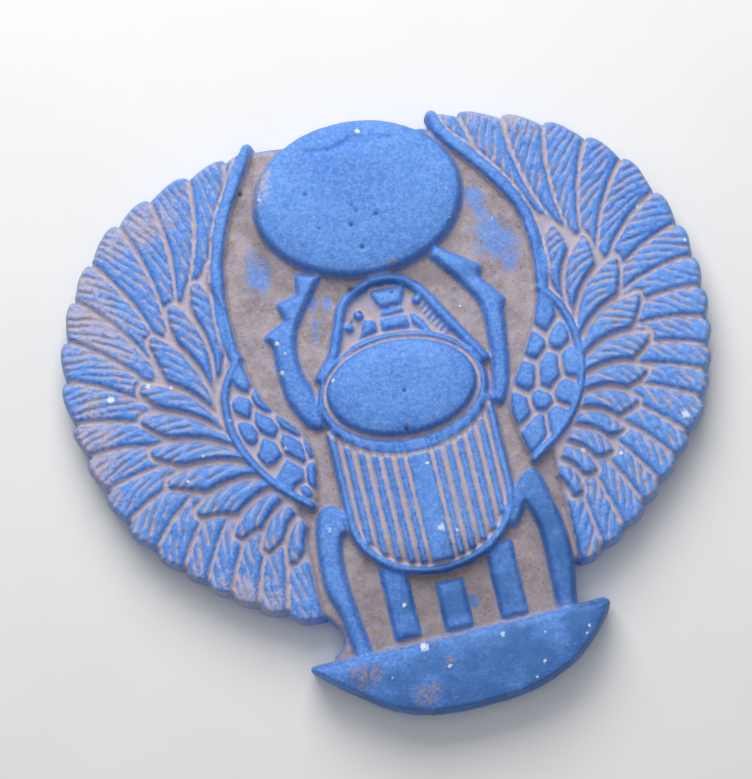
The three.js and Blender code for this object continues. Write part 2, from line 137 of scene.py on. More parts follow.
# Each wing: lines across the tips and the roots of a row of feathers, their widths along the tip
# line, the bow of the row's first and last groove, the slant and the thumb of the tips, and the
# slant of the barbs in degrees. The scales are ovals.
LEFT_WING = {
    "feathers": {
        "tip_line": [
            [-14.2, 49.6], [-25.8, 47.4], [-39.2, 42.4], [-49.3, 31.5], [-53.6, 19],
            [-53.6, 9], [-49, -7], [-41.7, -16.8], [-30.9, -25.9], [-20, -30.9],
        ],
        "root_line": [
            [-22.6, 34.4], [-29.9, 31], [-35.8, 25.6], [-41.2, 17], [-43, 7.5],
            [-41.4, -2.6], [-36.3, -10], [-29, -16.8], [-20.4, -21.6],
        ],
        "widths": [
            5, 6.9, 7.6, 6.8, 8.1, 6.8, 7, 6.9, 7.6, 5.9,
            6.7, 6.3, 6.7, 5.8, 4.5, 4.6, 4.8, 5.1, 6.5,
        ],
        "bow": [1.4, 0], "slant": 0, "thumb": 0, "barb_angle": 26,
    },
    "coverts": {
        "tip_line": [
            [-24.2, 32.4], [-27.6, 29.6], [-32.3, 27], [-37, 22.8], [-40.9, 15.2], [-42, 10],
            [-41.9, 4.3], [-40.6, -1.3], [-37.2, -7.3], [-31.7, -12.7], [-24.2, -19.3], [-20.5, -22.3],
        ],
        "root_line": [
            [-24.5, 15.3], [-28.6, 13.4], [-30.2, 9], [-29.6, 4.5], [-28, 0], [-25.6, -4.8],
            [-22.6, -9.3], [-19, -15.5],
        ],
        "widths": [4.4, 5.4, 6.3, 8.5, 5.3, 5.7, 5.8, 6.9, 7.7, 5.3, 4.7, 4.8],
        "bow": [2, 0.8], "slant": 0.26, "thumb": 1.15, "barb_angle": 20,
    },
    "scale_field": {
        "outer": [
            [-24.4, 15.5], [-27.5, 11], [-28.4, 6.5], [-27.8, 1.5], [-25.7, -3.2],
            [-22.5, -7.6], [-18, -11.8],
        ],
        "inner": [
            [-23.8, 15], [-22.7, 10], [-20.8, 6], [-17.3, 1.5], [-15.7, -2], [-15.6, -6], [-16.8, -11],
        ],
        "scales": [
            [-24.3, 11.4, 1.2, 2.3, -0.35], [-25.3, 7.3, 1.1, 2.2, 0.1], [-22.2, 7.2, 1.0, 2.2, 0.3],
            [-25.2, 2.6, 0.9, 2.1, 0.35], [-22.3, 3.3, 1.3, 2.5, 0.4], [-18.8, 2.5, 1.0, 2.4, 0.65],
            [-22.6, -1.2, 1.4, 2.4, 0.4], [-18.9, -1.6, 1.35, 2.7, 0.5], [-16.1, -2, 0.8, 2.2, 0],
            [-20, -5.5, 1.6, 2.3, 0.4], [-16.6, -6.7, 1.0, 2.2, -0.15], [-18.3, -9, 0.7, 1.3, 0.8],
        ],
    },
    "leading_edge": [
        [-14.2, 49.6], [-17.5, 44.5], [-21.5, 37.5], [-24, 28.5], [-24.6, 20], [-23.8, 15],
    ],
}

RIGHT_WING = {
    "feathers": {
        "tip_line": [
            [16, 48.2], [21.2, 47.4], [35.1, 42.4], [46.6, 33.4], [53, 20.4], [54.4, 9],
            [53, -1], [50, -9.2], [43.3, -18], [32, -27.6], [23.3, -31.6],
        ],
        "root_line": [
            [26, 32.2], [31, 29.4], [35.8, 25.8], [41.5, 20], [44.2, 8.5],
            [42.8, -1.8], [38.5, -8.5], [32, -17], [23.5, -22.5],
        ],
        "widths": [
            5.4, 7.6, 7.2, 7.6, 7.1, 7.9, 6.7, 6.1, 5.4, 5.4,
            4.7, 4.4, 4.5, 6.6, 4.5, 5, 4.5, 5.4, 4.8, 4.8,
        ],
        "bow": [1.4, 0], "slant": 0, "thumb": 0, "barb_angle": 34,
    },
    "coverts": {
        "tip_line": [
            [28, 27], [31.8, 25.3], [36.6, 22.4], [40.9, 17.8], [43.4, 10.8], [43.8, 3.8],
            [42.3, -2], [39.5, -6.6], [33.8, -13.8], [27.2, -18.8], [24.5, -22],
        ],
        "root_line": [
            [28, 15.4], [30.4, 13.6], [32, 10.5], [32.5, 5], [32.4, 1], [31.6, -2.5], [30.2, -5.8],
            [28.3, -8.3], [25.4, -12], [22.8, -17],
        ],
        "widths": [4.2, 5.6, 6.3, 7.4, 7, 6, 5.4, 5.4, 3.8, 4.4, 3.8, 4.2],
        "bow": [2, 0.8], "slant": 0.22, "thumb": 0, "barb_angle": 31,
    },
    "scale_field": {
        "outer": [
            [27.8, 15.2], [30.2, 12], [31.5, 8], [31.9, 3.5], [31, -1.5], [29, -5.5],
            [25.5, -9.2], [20.2, -12.8],
        ],
        "inner": [
            [27.2, 14.8], [25.3, 10], [22.8, 5.5], [19.8, 1], [18.2, -2.5], [18.3, -6.5], [19.3, -11.5],
        ],
        "scales": [
            [27, 10.7, 1.4, 2.9, -0.12], [24.6, 6, 1.6, 2.4, -0.4], [28.6, 6.1, 1.2, 1.8, -0.3],
            [22, 1.1, 1.8, 2.5, -0.35], [26.1, 1.1, 1.75, 2.7, -0.4], [29.4, 1.6, 1.2, 1.8, -0.1],
            [19.8, -3.6, 1.7, 2.5, 0.05], [23.5, -3.3, 1.6, 1.6, -0.5], [27.7, -2.8, 1.4, 1.7, -0.15],
            [21, -8.2, 1.4, 2.5, -0.7], [25.5, -7, 1.3, 1.6, -0.4],
        ],
    },
    "leading_edge": [
        [16, 48.2], [17, 44.5], [21.5, 39], [25.5, 33], [27.8, 27], [28.2, 20], [27.2, 14.8],
    ],
}

# Outlines are closed rings of stretches. Each stretch runs on smoothly from the last point of the
# one before it, and a stretch with a single point is a straight side.
GROUND_OUTLINE = [
    [[-25, 40], [-31, 20]], [[-30, -12]], [[-26, -24], [-20, -30.6]],
    [[-18.3, -33.2], [-18.2, -35.8], [-20.2, -37.4]], [[-20, -42]], [[20.9, -42]], [[20.9, -37.8]],
    [[22.6, -31.6]], [[28, -26], [32, -12]], [[34, 20]], [[26, 40], [14.9, 46.9]], [[-14.2, 49.6]],
]

FOOT_OUTLINE = [
    [[26.2, -38.1]],
    [[26.7, -39.2], [24.4, -42.6], [19, -47.2], [11, -50.2], [2, -50.9], [-6, -50.4],
     [-12.5, -48.2], [-18.5, -44], [-24, -39.4], [-24.2, -38]],
]

LEG_OUTLINES = [
    [
        [[-10.5, 22.5], [-14, 17.5], [-14.8, 12], [-13.4, 6.5], [-12.6, 3], [-12.9, 0.4]],
        [[-15.6, 1.8], [-18, 7.5], [-18.2, 16.2]], [[-19.2, 17.8]], [[-15.2, 19.8]], [[-16, 22.8]],
        [[-12.4, 23.6]], [[-11.6, 27]], [[-7.7, 26]],
    ],
    [
        [[14.5, 20.3], [17.5, 15], [17.6, 9], [16.8, 3], [15.5, -1.3]],
        [[17.2, -2.2], [19, 1], [20.3, 8], [21, 13.4]], [[21.6, 15]], [[18.5, 19.3]], [[19, 21.4]],
        [[14, 25]], [[12.4, 26.6]], [[11, 25]],
    ],
    [
        [[-15.8, -12.6], [-18, -15.6], [-19, -25], [-17.4, -31], [-16.4, -39]], [[-13.8, -39]],
        [[-15.3, -25], [-14.6, -18.6], [-13.2, -17.6]], [[-12.6, -14.4]],
    ],
    [
        [[17.4, -15.4], [19.8, -14.7], [21.2, -19], [22.5, -28.5], [20.9, -39]], [[18.2, -39]],
        [[18.4, -25], [17, -19.6]], [[14.4, -23]], [[12.6, -22]], [[15, -17.4]],
    ],
]

# Left side, right side, top and bottom of the three tail bars.
TAIL_BARS = [
    [-9.6, -5.1, -24.5, -37.2],
    [-1, 3.8, -29.2, -37.6],
    [8.5, 13.2, -24.8, -37.8],
]

HEAD_OUTLINE = [
    [[-8.4, 12.6], [-6.6, 18], [-3.4, 21.6], [2.5, 22.9], [7.4, 20.4], [11.4, 14.4], [15.6, 7]],
    [[-12.8, 9]],
]
HEAD_RIDGES = [
    [[-11.6, 8.8], [-8.8, 12], [-7, 16], [-5, 20.4], [-1, 22.5]],
    [[0.4, 22.9], [4.4, 22.5], [8, 19.8], [11.4, 14], [16, 6]],
]
HEAD_RIDGE_WIDTH = 2.0
# The flared crown, the neck and the three cheek plates.
HEAD_PLATES = [
    [[-0.4, 20.4], [0, 21.5], [5.5, 21.3], [5.7, 20.2], [4.7, 18], [0.8, 18]],
    [[0.8, 17.7], [4.5, 17.7], [4.7, 16.7], [0.6, 16.7]],
    [[0.4, 16.3], [5, 16.2], [5.1, 13.8], [0.3, 14.2]],
    [[-2.4, 16.9], [-0.5, 16.6], [-0.5, 14.3], [-3.9, 13.7]],
    [[5.5, 16.5], [7.2, 15], [8.9, 11.8], [7.4, 11.9], [5.5, 14.4]],
]
PLATE_TOP = 8.7
CROWN_FLUTES = [1.4, 2.8, 4.2]
FLUTE = {"top": 22, "bottom": 18.6, "lean": 0.1, "width": 0.5, "depth": 0.3}
KNOBS = [[-3, 17.8], [-5, 16.1], [7.2, 18.1]]
KNOB = {"half_width": 0.9, "half_height": 0.95, "top": 8.9}
# Short ticks that step down beside the right ridge of the head.
TICKS = {
    "first": [8, 16.9], "last": [11, 11.8], "count": 7, "length": 1.3, "width": 0.5, "turn": 0.6,
    "top": 8.3,
}
NECK_BAND = [[-5, 12.4], [-2, 13], [3, 12.9], [8, 11.7], [11, 10], [13.5, 7.5]]
NECK_BAND_WIDTH = 1.2
NECK_BAND_TOP = 9.2

# ---------------------------------------------------------------- marks of age and making
# A shallow wavy crease near the top of the disc, in two stretches.
DISC_CREASES = [
    [[-5.2, 46.6], [-4, 46.1], [-1, 45.9], [0.5, 46.3], [3.5, 47.1], [4.8, 45.9]],
    [[6.4, 47.1], [7, 46.1], [9.2, 45.8]],
]
CREASE = {"width": 1.2, "depth": 0.4}
# Pits: place and radius.
PITS = [
    [4, 33.5, 0.35], [-0.6, 32.6, 0.35], [0.35, 28.6, 0.35], [0.3, 36, 0.2], [0.7, 34.8, 0.2],
    [-6, 33.3, 0.2], [-7, 39.5, 0.2], [3.4, 20.4, 0.3], [-3.3, 22.5, 0.45], [-2.6, 18.3, 0.3],
    [-4.4, 17, 0.3], [0.5, -3.1, 0.4], [1.6, 3.1, 0.25], [-17.8, 42.9, 0.4],
]
# Lime-white specks: place and radius.
SPECKS = [
    [4.2, 48.1, 0.6], [16.5, 35.1, 0.35], [15.9, 30.3, 0.3], [-14.8, 40.7, 0.35], [-9.6, 7.7, 0.5],
    [-17.5, 16.2, 0.6], [-17.8, 11.3, 0.6], [-16.5, 14.3, 0.35], [-46.9, 13.6, 0.85],
    [-40.3, 14.4, 0.6], [-36.5, 13.2, 0.5], [-37.3, -3, 0.45], [-33.8, 0.6, 0.4], [-20.2, -1.4, 0.5],
    [-28, 5.4, 0.35], [-54, 4, 0.7], [-16, -16.4, 0.5], [-6.8, -31.5, 0.5], [2.5, -9.5, 0.4],
    [2.3, -20.5, 0.75], [4.8, -21.5, 0.4], [-2.4, -17.3, 0.3], [47.2, 24.8, 0.4], [53.6, 17.2, 0.4],
    [34.5, -15.2, 0.5], [28.5, -13.2, 0.5], [46.5, -11.5, 0.9], [14.2, 15.5, 0.3], [-5.1, -39.1, 0.9],
    [8, -40, 0.6], [-11.5, -43, 0.35], [-1.7, -43.1, 0.5], [15, -41.3, 0.35], [22.5, -42, 0.4],
    [21.7, -43.2, 0.3], [18.2, -44.4, 0.3], [13.8, -46.1, 0.5], [12, -48.3, 0.35], [23, 28.8, 0.3],
]
# Brown soil stuck in broad patches on the foot, and a chip at the disc's lower edge.
STAINS = [
    [-16, -41.8, 1.6], [-14.3, -41.6, 1.3], [-17.5, -40.6, 1.0], [-6.7, -47.2, 1.6],
    [-5.2, -46.4, 1.0], [-1.5, -42.4, 0.7], [4.6, 24.8, 0.75],
]
# Patches of the ground that are rubbed clean down to the blue: place, half sizes and turn.
CLEAN_PATCHES = [
    [-18, 29, 2.6, 4.6, -0.2], [-7.8, 21, 1.0, 1.8, -0.4], [-10.5, 17, 0.9, 2.6, -0.1],
    [21, 32.1, 1.8, 4.6, 0.3], [22.9, 25.6, 4.3, 5.0, 0.3], [24, 22.3, 2.2, 3.4, 0],
    [4.8, -33.5, 1.2, 1.6, 0], [-10, 21.5, 0.8, 2.0, -0.3],
]
# Where pale dust lies on the blue: the outer feathers of the left wing and the top of the right
# one, the disc's left rim and the foot's upper edge.
DUSTY_PATCHES = [
    [-47, 28, 6, 13, 0.3], [-36, 41, 8, 4, 0.4], [-51, 6, 4, 12, 0], [-14.2, 43.3, 2.0, 4.8, -0.35],
    [30, 45, 8, 3, -0.4], [-32, -24, 9, 4, -0.5], [3, -38.2, 25, 0.5, 0],
]
# Where grime and painted shade darken the blue and the soil: grime and painted shade on the foot,
# painted shade round the tail bars, on the lower right leg, under the disc and left of it.
GRIME_AND_SHADE_PATCHES = [
    [9, -42.5, 6, 4, 0], [2, -47, 30, 8, 0], [-13, -43, 8, 3, -0.2], [23, -41, 7, 5, 0.2],
    [1.4, -31, 17, 7, 0], [5, 22, 14, 1.6, -0.1], [20, -28, 4, 12, 0.1],
    [-16.5, 33, 1.2, 8, 0.2],
]


# ---------------------------------------------------------------- lines and outlines
def smooth(points, steps=10):
    """A smooth curve through `points`, as a close line of points."""
    knots = np.asarray(points, float)
    if len(knots) == 2:
        return knots
    padded = np.vstack([knots[:1], knots, knots[-1:]])
    share = np.linspace(0, 1, steps, endpoint=False)[:, None]
    stretches = []
    for before, start, end, after in zip(padded, padded[1:], padded[2:], padded[3:]):
        leave = (end - before) / 2
        arrive = (after - start) / 2
        stretches.append(
            start + leave * share
            + (3 * (end - start) - 2 * leave - arrive) * share ** 2
            + (2 * (start - end) + leave + arrive) * share ** 3
        )
    return np.vstack([*stretches, knots[-1:]])


def reached(line):
    """How far along a line each of its points is."""
    return np.concatenate([[0], np.cumsum(np.hypot(*np.diff(line, axis=0).T))])


def point_at(line, shares):
    """The points at these shares of a line's length."""
    length = reached(line)
    at = np.asarray(shares) * length[-1]
    return np.stack([np.interp(at, length, line[:, 0]), np.interp(at, length, line[:, 1])], -1)


def closed(stretches):
    """A closed outline from stretches that each start where the last one ends."""
    return np.vstack([smooth(stretch)[:-1] for stretch in stretches])


def joined(stretches):
    """A closed outline from stretches that each run on from the end of the one before."""
    starts = [stretch[-1] for stretch in [stretches[-1], *stretches]]
    return closed([[start, *stretch] for start, stretch in zip(starts, stretches)])


def oval(x, y, half_width, half_height, turn=0, sides=64):
    angle = np.linspace(0, 2 * np.pi, sides, endpoint=False)
    across = half_width * np.cos(angle)
    up = half_height * np.sin(angle)
    return np.stack([
        x + across * math.cos(turn) - up * math.sin(turn),
        y + across * math.sin(turn) + up * math.cos(turn),
    ], -1)


def along_line(places, line):
    """Distance of each place from a line, and how far along the line its nearest point is."""
    nearest = np.full(len(places), np.inf)
    along = np.zeros(len(places))
    for start, end, before in zip(line, line[1:], reached(line)):
        step = end - start
        length = math.hypot(*step)
        if length < 1e-9:
            continue
        away = places - start
        share = np.clip(away @ step / length ** 2, 0, 1)
        distance = np.hypot(*(away - share[:, None] * step).T)
        closer = distance < nearest
        nearest = np.where(closer, distance, nearest)
        along = np.where(closer, before + share * length, along)
    return nearest, along


def inside_distance(places, outline):
    """Distance of each place from a closed outline, positive inside it."""
    ring = np.vstack([outline, outline[:1]])
    nearest, _ = along_line(places, ring)
    within = np.zeros(len(places), bool)
    x, y = places.T
    for (x0, y0), (x1, y1) in zip(ring, ring[1:]):
        if y0 == y1:
            continue
        crosses = (y0 > y) != (y1 > y)
        within ^= crosses & (x < x0 + (y - y0) * (x1 - x0) / (y1 - y0))
    return np.where(within, nearest, -nearest)


# ---------------------------------------------------------------- the relief
FIELDS = ["height", "inside", "blue", "barbs", "barb_run", "blade"]
MARKS = ["pit", "speck", "stain", "clean", "dusty", "grime_and_shade"]
KEPT = ["blue", "barbs", "barb_run", "blade", "hollow", "rim", *MARKS]
# What a place has as `inside` before any piece is laid on it.
FAR_OUTSIDE = -9.0
# The blue of a piece fades out over `width` mm, from `start` mm past its skirt, and what it lies
# on keeps its barbs up to `barbs` mm inside it.
PIECE_FADE = {"start": 0.18, "width": 0.7, "barbs": 0.3}
RIDGE_FADE = {"start": 0.12, "width": 0.3, "barbs": 0.2}


def new_relief(places):
    relief = {name: np.zeros(len(places)) for name in FIELDS}
    relief["places"] = places
    relief["height"] += RIM_HEIGHT
    relief["inside"] += FAR_OUTSIDE
    return relief


def near(relief, outline, margin=1.6):
    """The numbers of the places that lie in an outline's own box, widened by `margin`."""
    low = outline.min(0) - margin
    high = outline.max(0) + margin
    places = relief["places"]
    return np.flatnonzero(((places > low) & (places < high)).all(1))


def lay(relief, outline, top, edge, blue=1.0, skirt=SKIRT["plain"], grow=0):
    """Lays a piece on the relief: inside `outline`, widened by `grow`, the face climbs to `top`
    over `edge` mm. The blue spreads `skirt` mm down past the outline."""
    here = near(relief, outline)
    inside = inside_distance(relief["places"][here], outline) + grow
    pile(relief, here, inside, top, edge, blue, skirt)


def pile(relief, here, inside, top, edge, blue, skirt):
    """Raises the places `here`, each `inside` mm within a piece's outline, up to its top."""
    if callable(top):
        top = top(relief["places"][here], inside)
    climb = np.sin(np.clip(inside / edge, 0, 1) * np.pi / 2)
    raise_and_paint(relief, here, inside, top, climb, blue, skirt, PIECE_FADE)


def raise_and_paint(relief, here, inside, top, climb, blue, skirt, fade):
    """Raises each place by its share `climb` of the way to the top, and gives it its blue."""
    relief["height"][here] += np.maximum(top - relief["height"][here], 0) * climb
    relief["inside"][here] = np.maximum(relief["inside"][here], inside)
    cover = np.clip((inside + skirt + fade["start"]) / fade["width"], 0, 1)
    relief["blue"][here] += (blue - relief["blue"][here]) * cover
    relief["barbs"][here] *= 1 - np.clip(inside / fade["barbs"], 0, 1)


def sink(relief, outline, floor, edge, reach=0):
    """Cuts everything inside `outline`, and `reach` mm round it, down to `floor`."""
    here = near(relief, outline)
    inside = inside_distance(relief["places"][here], outline) + reach
    share = np.sin(np.clip(inside / edge, 0, 1) * np.pi / 2)
    relief["height"][here] += np.minimum(floor - relief["height"][here], 0) * share
    relief["blue"][here] *= 1 - share
    relief["barbs"][here] *= 1 - share


def ridge(relief, line, width, top):
    """A round-backed blue ridge of even width along a smooth line."""
    here, away, climb = round_back(relief, line, width)
    raise_and_paint(relief, here, width / 2 - away, top, climb, 1, 0, RIDGE_FADE)


def round_back(relief, line, width):
    """The places near a smooth line, how far each is from it, and a round section over it."""
    middle = smooth(line, 4)
    here = near(relief, middle, width)
    away, _ = along_line(relief["places"][here], middle)
    return here, away, np.sqrt(1 - np.clip(2 * away / width, 0, 1) ** 2)


def grooves(row, kind):
    """The lines that part a row of feathers, each from the tip line to the root line."""
    tips = smooth(row["tip_line"])
    roots = smooth(row["root_line"])
    widths = np.array(row["widths"], float)
    ends = point_at(tips, np.concatenate([[0], np.cumsum(widths)]) / widths.sum())
    starts = point_at(roots, np.linspace(0, 1, len(ends)))
    share = np.linspace(0, 1, 13)[:, None]
    lines = []
    for i, (tip, root) in enumerate(zip(ends, starts)):
        along = (root - tip) / math.hypot(*(root - tip))
        root = root + along * kind["root_reach"]
        bow = np.interp(i / len(widths), [0, 1], row["bow"])
        swing = -2 * math.copysign(bow, tip[0])
        middle = (tip + root) / 2 + swing * np.array([-along[1], along[0]])
        lines.append(tip * (1 - share) ** 2 + 2 * middle * share * (1 - share) + root * share ** 2)
    return lines


# A thumb-shaped tip, as shares of the thumb's own radius: outward and across from its start.
THUMB = [[0, 0], [0.75, 0.3], [1.0, 1.0], [0.6, 1.8], [-0.9, 2.2], [-2.2, 2.5]]


def blade(upper, lower, kind, row, is_first):
    """The outline of one feather between two grooves. Its round tip leans, or starts with a
    thumb, and comes back to the lower groove a share `slant` down it. The first in a row has no
    groove above it."""
    slant = row["slant"]
    steps = np.linspace(0, 1, 25)
    down = kind["shoulder"] + (1 - kind["shoulder"]) * steps
    below = slant + (1 - slant) * steps
    widening = kind["root_gap"] - kind["gap"]
    upper_gap = 0 if is_first else kind["gap"] + widening * down ** 3
    first = between(upper, lower, down, upper_gap)
    last = between(upper, lower, below, 1 - kind["gap"] - widening * below ** 3)
    chord = last[0] - first[0]
    outward = (upper[0] - upper[-1]) / math.hypot(*(upper[0] - upper[-1]))
    share = (1 - np.cos(np.linspace(0, np.pi, 15)))[:, None] / 2
    around = np.sin(np.pi * (kind["blunt"] + (1 - 2 * kind["blunt"]) * share) ** kind["lean"])
    bulge = kind["swell"] * math.hypot(*chord) * np.maximum(around, 0) ** kind["full"]
    tip = first[0] + chord * share + outward * bulge
    if row["thumb"]:
        across = chord - outward * (chord @ outward)
        across /= math.hypot(*across)
        thumb = [first[0] + row["thumb"] * (outward * out + across * aside) for out, aside in THUMB]
        tip = smooth([*thumb, last[0]], 6)
    return np.vstack([first[:0:-1], tip, last[1:]])


def between(upper, lower, down, across):
    """Points a share `down` the way between tip and root, a share `across` from groove to groove."""
    at = down * (len(upper) - 1)
    index = np.arange(len(upper))
    sides = [np.stack([np.interp(at, index, line[:, axis]) for axis in (0, 1)], -1)
             for line in (upper, lower)]
    across = np.reshape(across, (-1, 1))
    return sides[0] * (1 - across) + sides[1] * across


def blades(row, kind):
    """The outline of each feather of a row, with the grooves above and below it."""
    lines = grooves(row, kind)
    return [(blade(upper, lower, kind, row, number == 0), upper, lower)
            for number, (upper, lower) in enumerate(zip(lines, lines[1:]))]


# A blade owns the places from this far inside its outline. Its barbs fade out towards the plain
# band over BAND_FADE mm, down to a share BAND_BARBS.
OWNED_FROM = -0.1
BAND_FADE = 0.6
BAND_BARBS = 0.1


def feather_row(relief, row, kind, top, first_blade):
    """Lays a row of feathers, and marks the number of each blade and where its barbs run."""
    angle = math.radians(row["barb_angle"])
    for number, (outline, upper, lower) in enumerate(blades(row, kind)):
        here = near(relief, outline)
        places = relief["places"][here]
        inside = inside_distance(places, outline)
        above, along = along_line(places, upper)
        below, _ = along_line(places, lower)
        across = above / (above + below + 1e-6)
        crown = top + CROWN["side"] + CROWN["rise"] * np.sin(np.pi * across ** CROWN["lean"])
        pile(relief, here, inside, crown, EDGE["blade"], 1, SKIRT["blade"])
        owned = inside > OWNED_FROM
        band = np.clip((below - kind["plain_band"]) / BAND_FADE, 0, 1)
        whole = np.clip((inside - SKIRT["blade"]) / PIECE_FADE["barbs"], 0, 1)
        own = {
            "barb_run": above * math.cos(angle) + along * math.sin(angle),
            "blade": first_blade + number,
            "barbs": whole * (BAND_BARBS + (1 - BAND_BARBS) * band),
        }
        for name, values in own.items():
            relief[name][here] = np.where(owned, values, relief[name][here])


# The blades' numbers: where each wing starts, and its coverts after its feathers.
LEFT_BLADES = 1
RIGHT_BLADES = 101
FIRST_COVERT = 30


def wing(relief, parts, first_blade):
    """A wing: its floor, both rows of feathers, its leading ridge and its field of scales."""
    field = parts["scale_field"]
    feathers = parts["feathers"]
    valleys = np.array([line[0] for line in grooves(feathers, FEATHER)])
    foot = np.array(field["inner"][-1])
    corner = np.array([valleys[-1][0], foot[1]])
    bound = closed([parts["leading_edge"], field["inner"]])
    lay(relief, np.vstack([bound, foot, corner, valleys[::-1]]), WING_FLOOR, EDGE["wing"], 0)
    feather_row(relief, feathers, FEATHER, FEATHER_TOP, first_blade)
    for outline, _, _ in blades(parts["coverts"], COVERT):
        sink(relief, outline, WING_FLOOR, EDGE["trench"], COVERT_TRENCH)
    feather_row(relief, parts["coverts"], COVERT, COVERT_TOP, first_blade + FIRST_COVERT)
    middle = [[BODY_AXIS, foot[1]], [BODY_AXIS, bound[0][1]]]
    sink(relief, np.vstack([bound, middle]), GROUND, EDGE["beyond"])
    edge = smooth(parts["leading_edge"])
    groove = LEADING_GROOVE
    ridge_cut(relief, beside(edge, groove["away"]), groove["width"], groove["depth"], 1)
    leading = LEADING_RIDGE
    ridge(relief, beside(edge, leading["away"]), leading["width"], FEATHER_TOP + leading["rise"])
    outer, inner = field["outer"], field["inner"]
    field_outline = closed([outer, [outer[-1], foot], inner[::-1], [inner[0], outer[0]]])
    lay(relief, field_outline, SCALE_FLOOR, EDGE["field"], 0)
    ridge(relief, outer, WING_RIDGE_WIDTH, WING_RIDGE_TOP)
    scales(relief, field["scales"], field_outline)


def beside(line, away):
    """A line moved `away` mm to the wing's side of a leading edge that runs towards the root."""
    step = np.gradient(line, axis=0)
    step /= np.hypot(*step.T)[:, None]
    return line + math.copysign(away, line[0][0]) * np.stack([-step[:, 1], step[:, 0]], -1)


def oval_reach(places, x, y, half_width, half_height, turn):
    """How far each place is from an oval's middle, as a share of the oval's own reach."""
    across, up = (places - [x, y]).T
    along = (across * math.cos(turn) + up * math.sin(turn)) / half_width
    aside = (up * math.cos(turn) - across * math.sin(turn)) / half_height
    return np.hypot(along, aside)


def scales(relief, ovals, outline):
    """Scales that fill the field, each swelling from its oval to a gap halfway to the next."""
    here = near(relief, outline)
    places = relief["places"][here]
    reach = np.sort([oval_reach(places, *middle) for middle in ovals], axis=0)
    halfway = reach[1] - reach[0] - SCALE["gap"] / 2
    spread = (SCALE["swell"] - reach[0]) * SCALE["steep"]
    border = inside_distance(places, outline) - SCALE["border"]
    inside = np.minimum(np.minimum(halfway, spread), border)
    keep = relief["height"][here] < SCALE_TOP
    pile(relief, here[keep], inside[keep], SCALE_TOP, EDGE["scale"], 1, SKIRT["scale"])


def shell_edge(x, inside):
    """Lowest y of the wing case at a place across it, `inside` mm in from its rim."""
    across = np.minimum(1, np.abs(x - BODY_AXIS) / (SHELL["half_width"] - inside))
    depth = SHELL["waist"] - SHELL["bottom"] - inside
    return SHELL["waist"] - depth * np.sqrt(1 - across ** 2)


def shield(inside):
    """The outline of the wing case, `inside` mm in from its rim."""
    half = SHELL["half_width"] - inside
    x = BODY_AXIS - half * np.cos(np.linspace(0, np.pi, 33))
    low = np.stack([x, shell_edge(x, inside)], -1)
    high = [[BODY_AXIS + half, SHELL["shoulder"]], [BODY_AXIS - half, SHELL["shoulder"]]]
    return np.vstack([low, high])


def shell_dome(places, _inside):
    """Height of the domed ground between the stripes of the wing case."""
    across = (places[:, 0] - BODY_AXIS) / SHELL["half_width"]
    return SHELL_FLOOR + SHELL["crown"] * (1 - across ** 2)


def stripe_top(places, inside):
    return shell_dome(places, inside) + STRIPE["rise"]


def wing_case(relief):
    """The striped wing case: a rim round domed ground, with one broad stripe and ten narrow."""
    lay(relief, shield(0), SHELL_RIM_TOP, EDGE["shell"])
    sink(relief, shield(SHELL["rim"]), SHELL_FLOOR, EDGE["shell_cut"])
    lay(relief, shield(SHELL["dome_inside"]), shell_dome, EDGE["shell_dome"], 0)
    stripes = [(BODY_AXIS, STRIPE["broad"])]
    for k in range(STRIPE["per_side"]):
        away = STRIPE["first"] + k * STRIPE["pitch"]
        stripes += [(BODY_AXIS - away, STRIPE["narrow"]), (BODY_AXIS + away, STRIPE["narrow"])]
    for x, width in stripes:
        bottom = shell_edge(x, SHELL["stripe_inside"])
        bar = rectangle(x - width / 2, x + width / 2, SHELL["shoulder"], bottom)
        lay(relief, bar, stripe_top, EDGE["stripe"], skirt=SKIRT["stripe"])


def rectangle(left, right, top, bottom):
    return np.array([[left, bottom], [right, bottom], [right, top], [left, top]], float)


def head(relief):
    """The head: its ridges and neck band, the crown and plates, the knobs and the ticks."""
    lay(relief, joined(HEAD_OUTLINE), HEAD_FLOOR, EDGE["head"], 0)
    for line in HEAD_RIDGES:
        ridge(relief, line, HEAD_RIDGE_WIDTH, HEAD_TOP)
    ridge(relief, NECK_BAND, NECK_BAND_WIDTH, NECK_BAND_TOP)
    for plate in HEAD_PLATES:
        lay(relief, np.array(plate, float), PLATE_TOP, EDGE["plate"])
    for x in CROWN_FLUTES:
        flute = [[x, FLUTE["top"]], [x + FLUTE["lean"], FLUTE["bottom"]]]
        ridge_cut(relief, flute, FLUTE["width"], FLUTE["depth"])
    for x, y in KNOBS:
        knob = oval(x, y, KNOB["half_width"], KNOB["half_height"], sides=16)
        lay(relief, knob, KNOB["top"], EDGE["knob"])
    start, end = np.array(TICKS["first"]), np.array(TICKS["last"])
    reach = TICKS["length"] / 2 * np.array([math.cos(TICKS["turn"]), math.sin(TICKS["turn"])])
    for share in np.linspace(0, 1, TICKS["count"]):
        middle = start + (end - start) * share
        ridge(relief, [middle - reach, middle + reach], TICKS["width"], TICKS["top"])


def ridge_cut(relief, line, width, depth, soil=0):
    """A shallow round groove cut along a line, with this share of its blue lost under soil."""
    here, _, share = round_back(relief, line, width)
    relief["height"][here] -= depth * share
    relief["blue"][here] *= 1 - soil * share


def dome(low, high, reach):
    """A round crown: `low` at the outline, `high` from `reach` mm inside it."""
    def top(places, inside):
        share = np.clip(inside / reach, 0, 1)
        return low + (high - low) * np.sqrt(1 - (1 - share) ** 2)
    return top


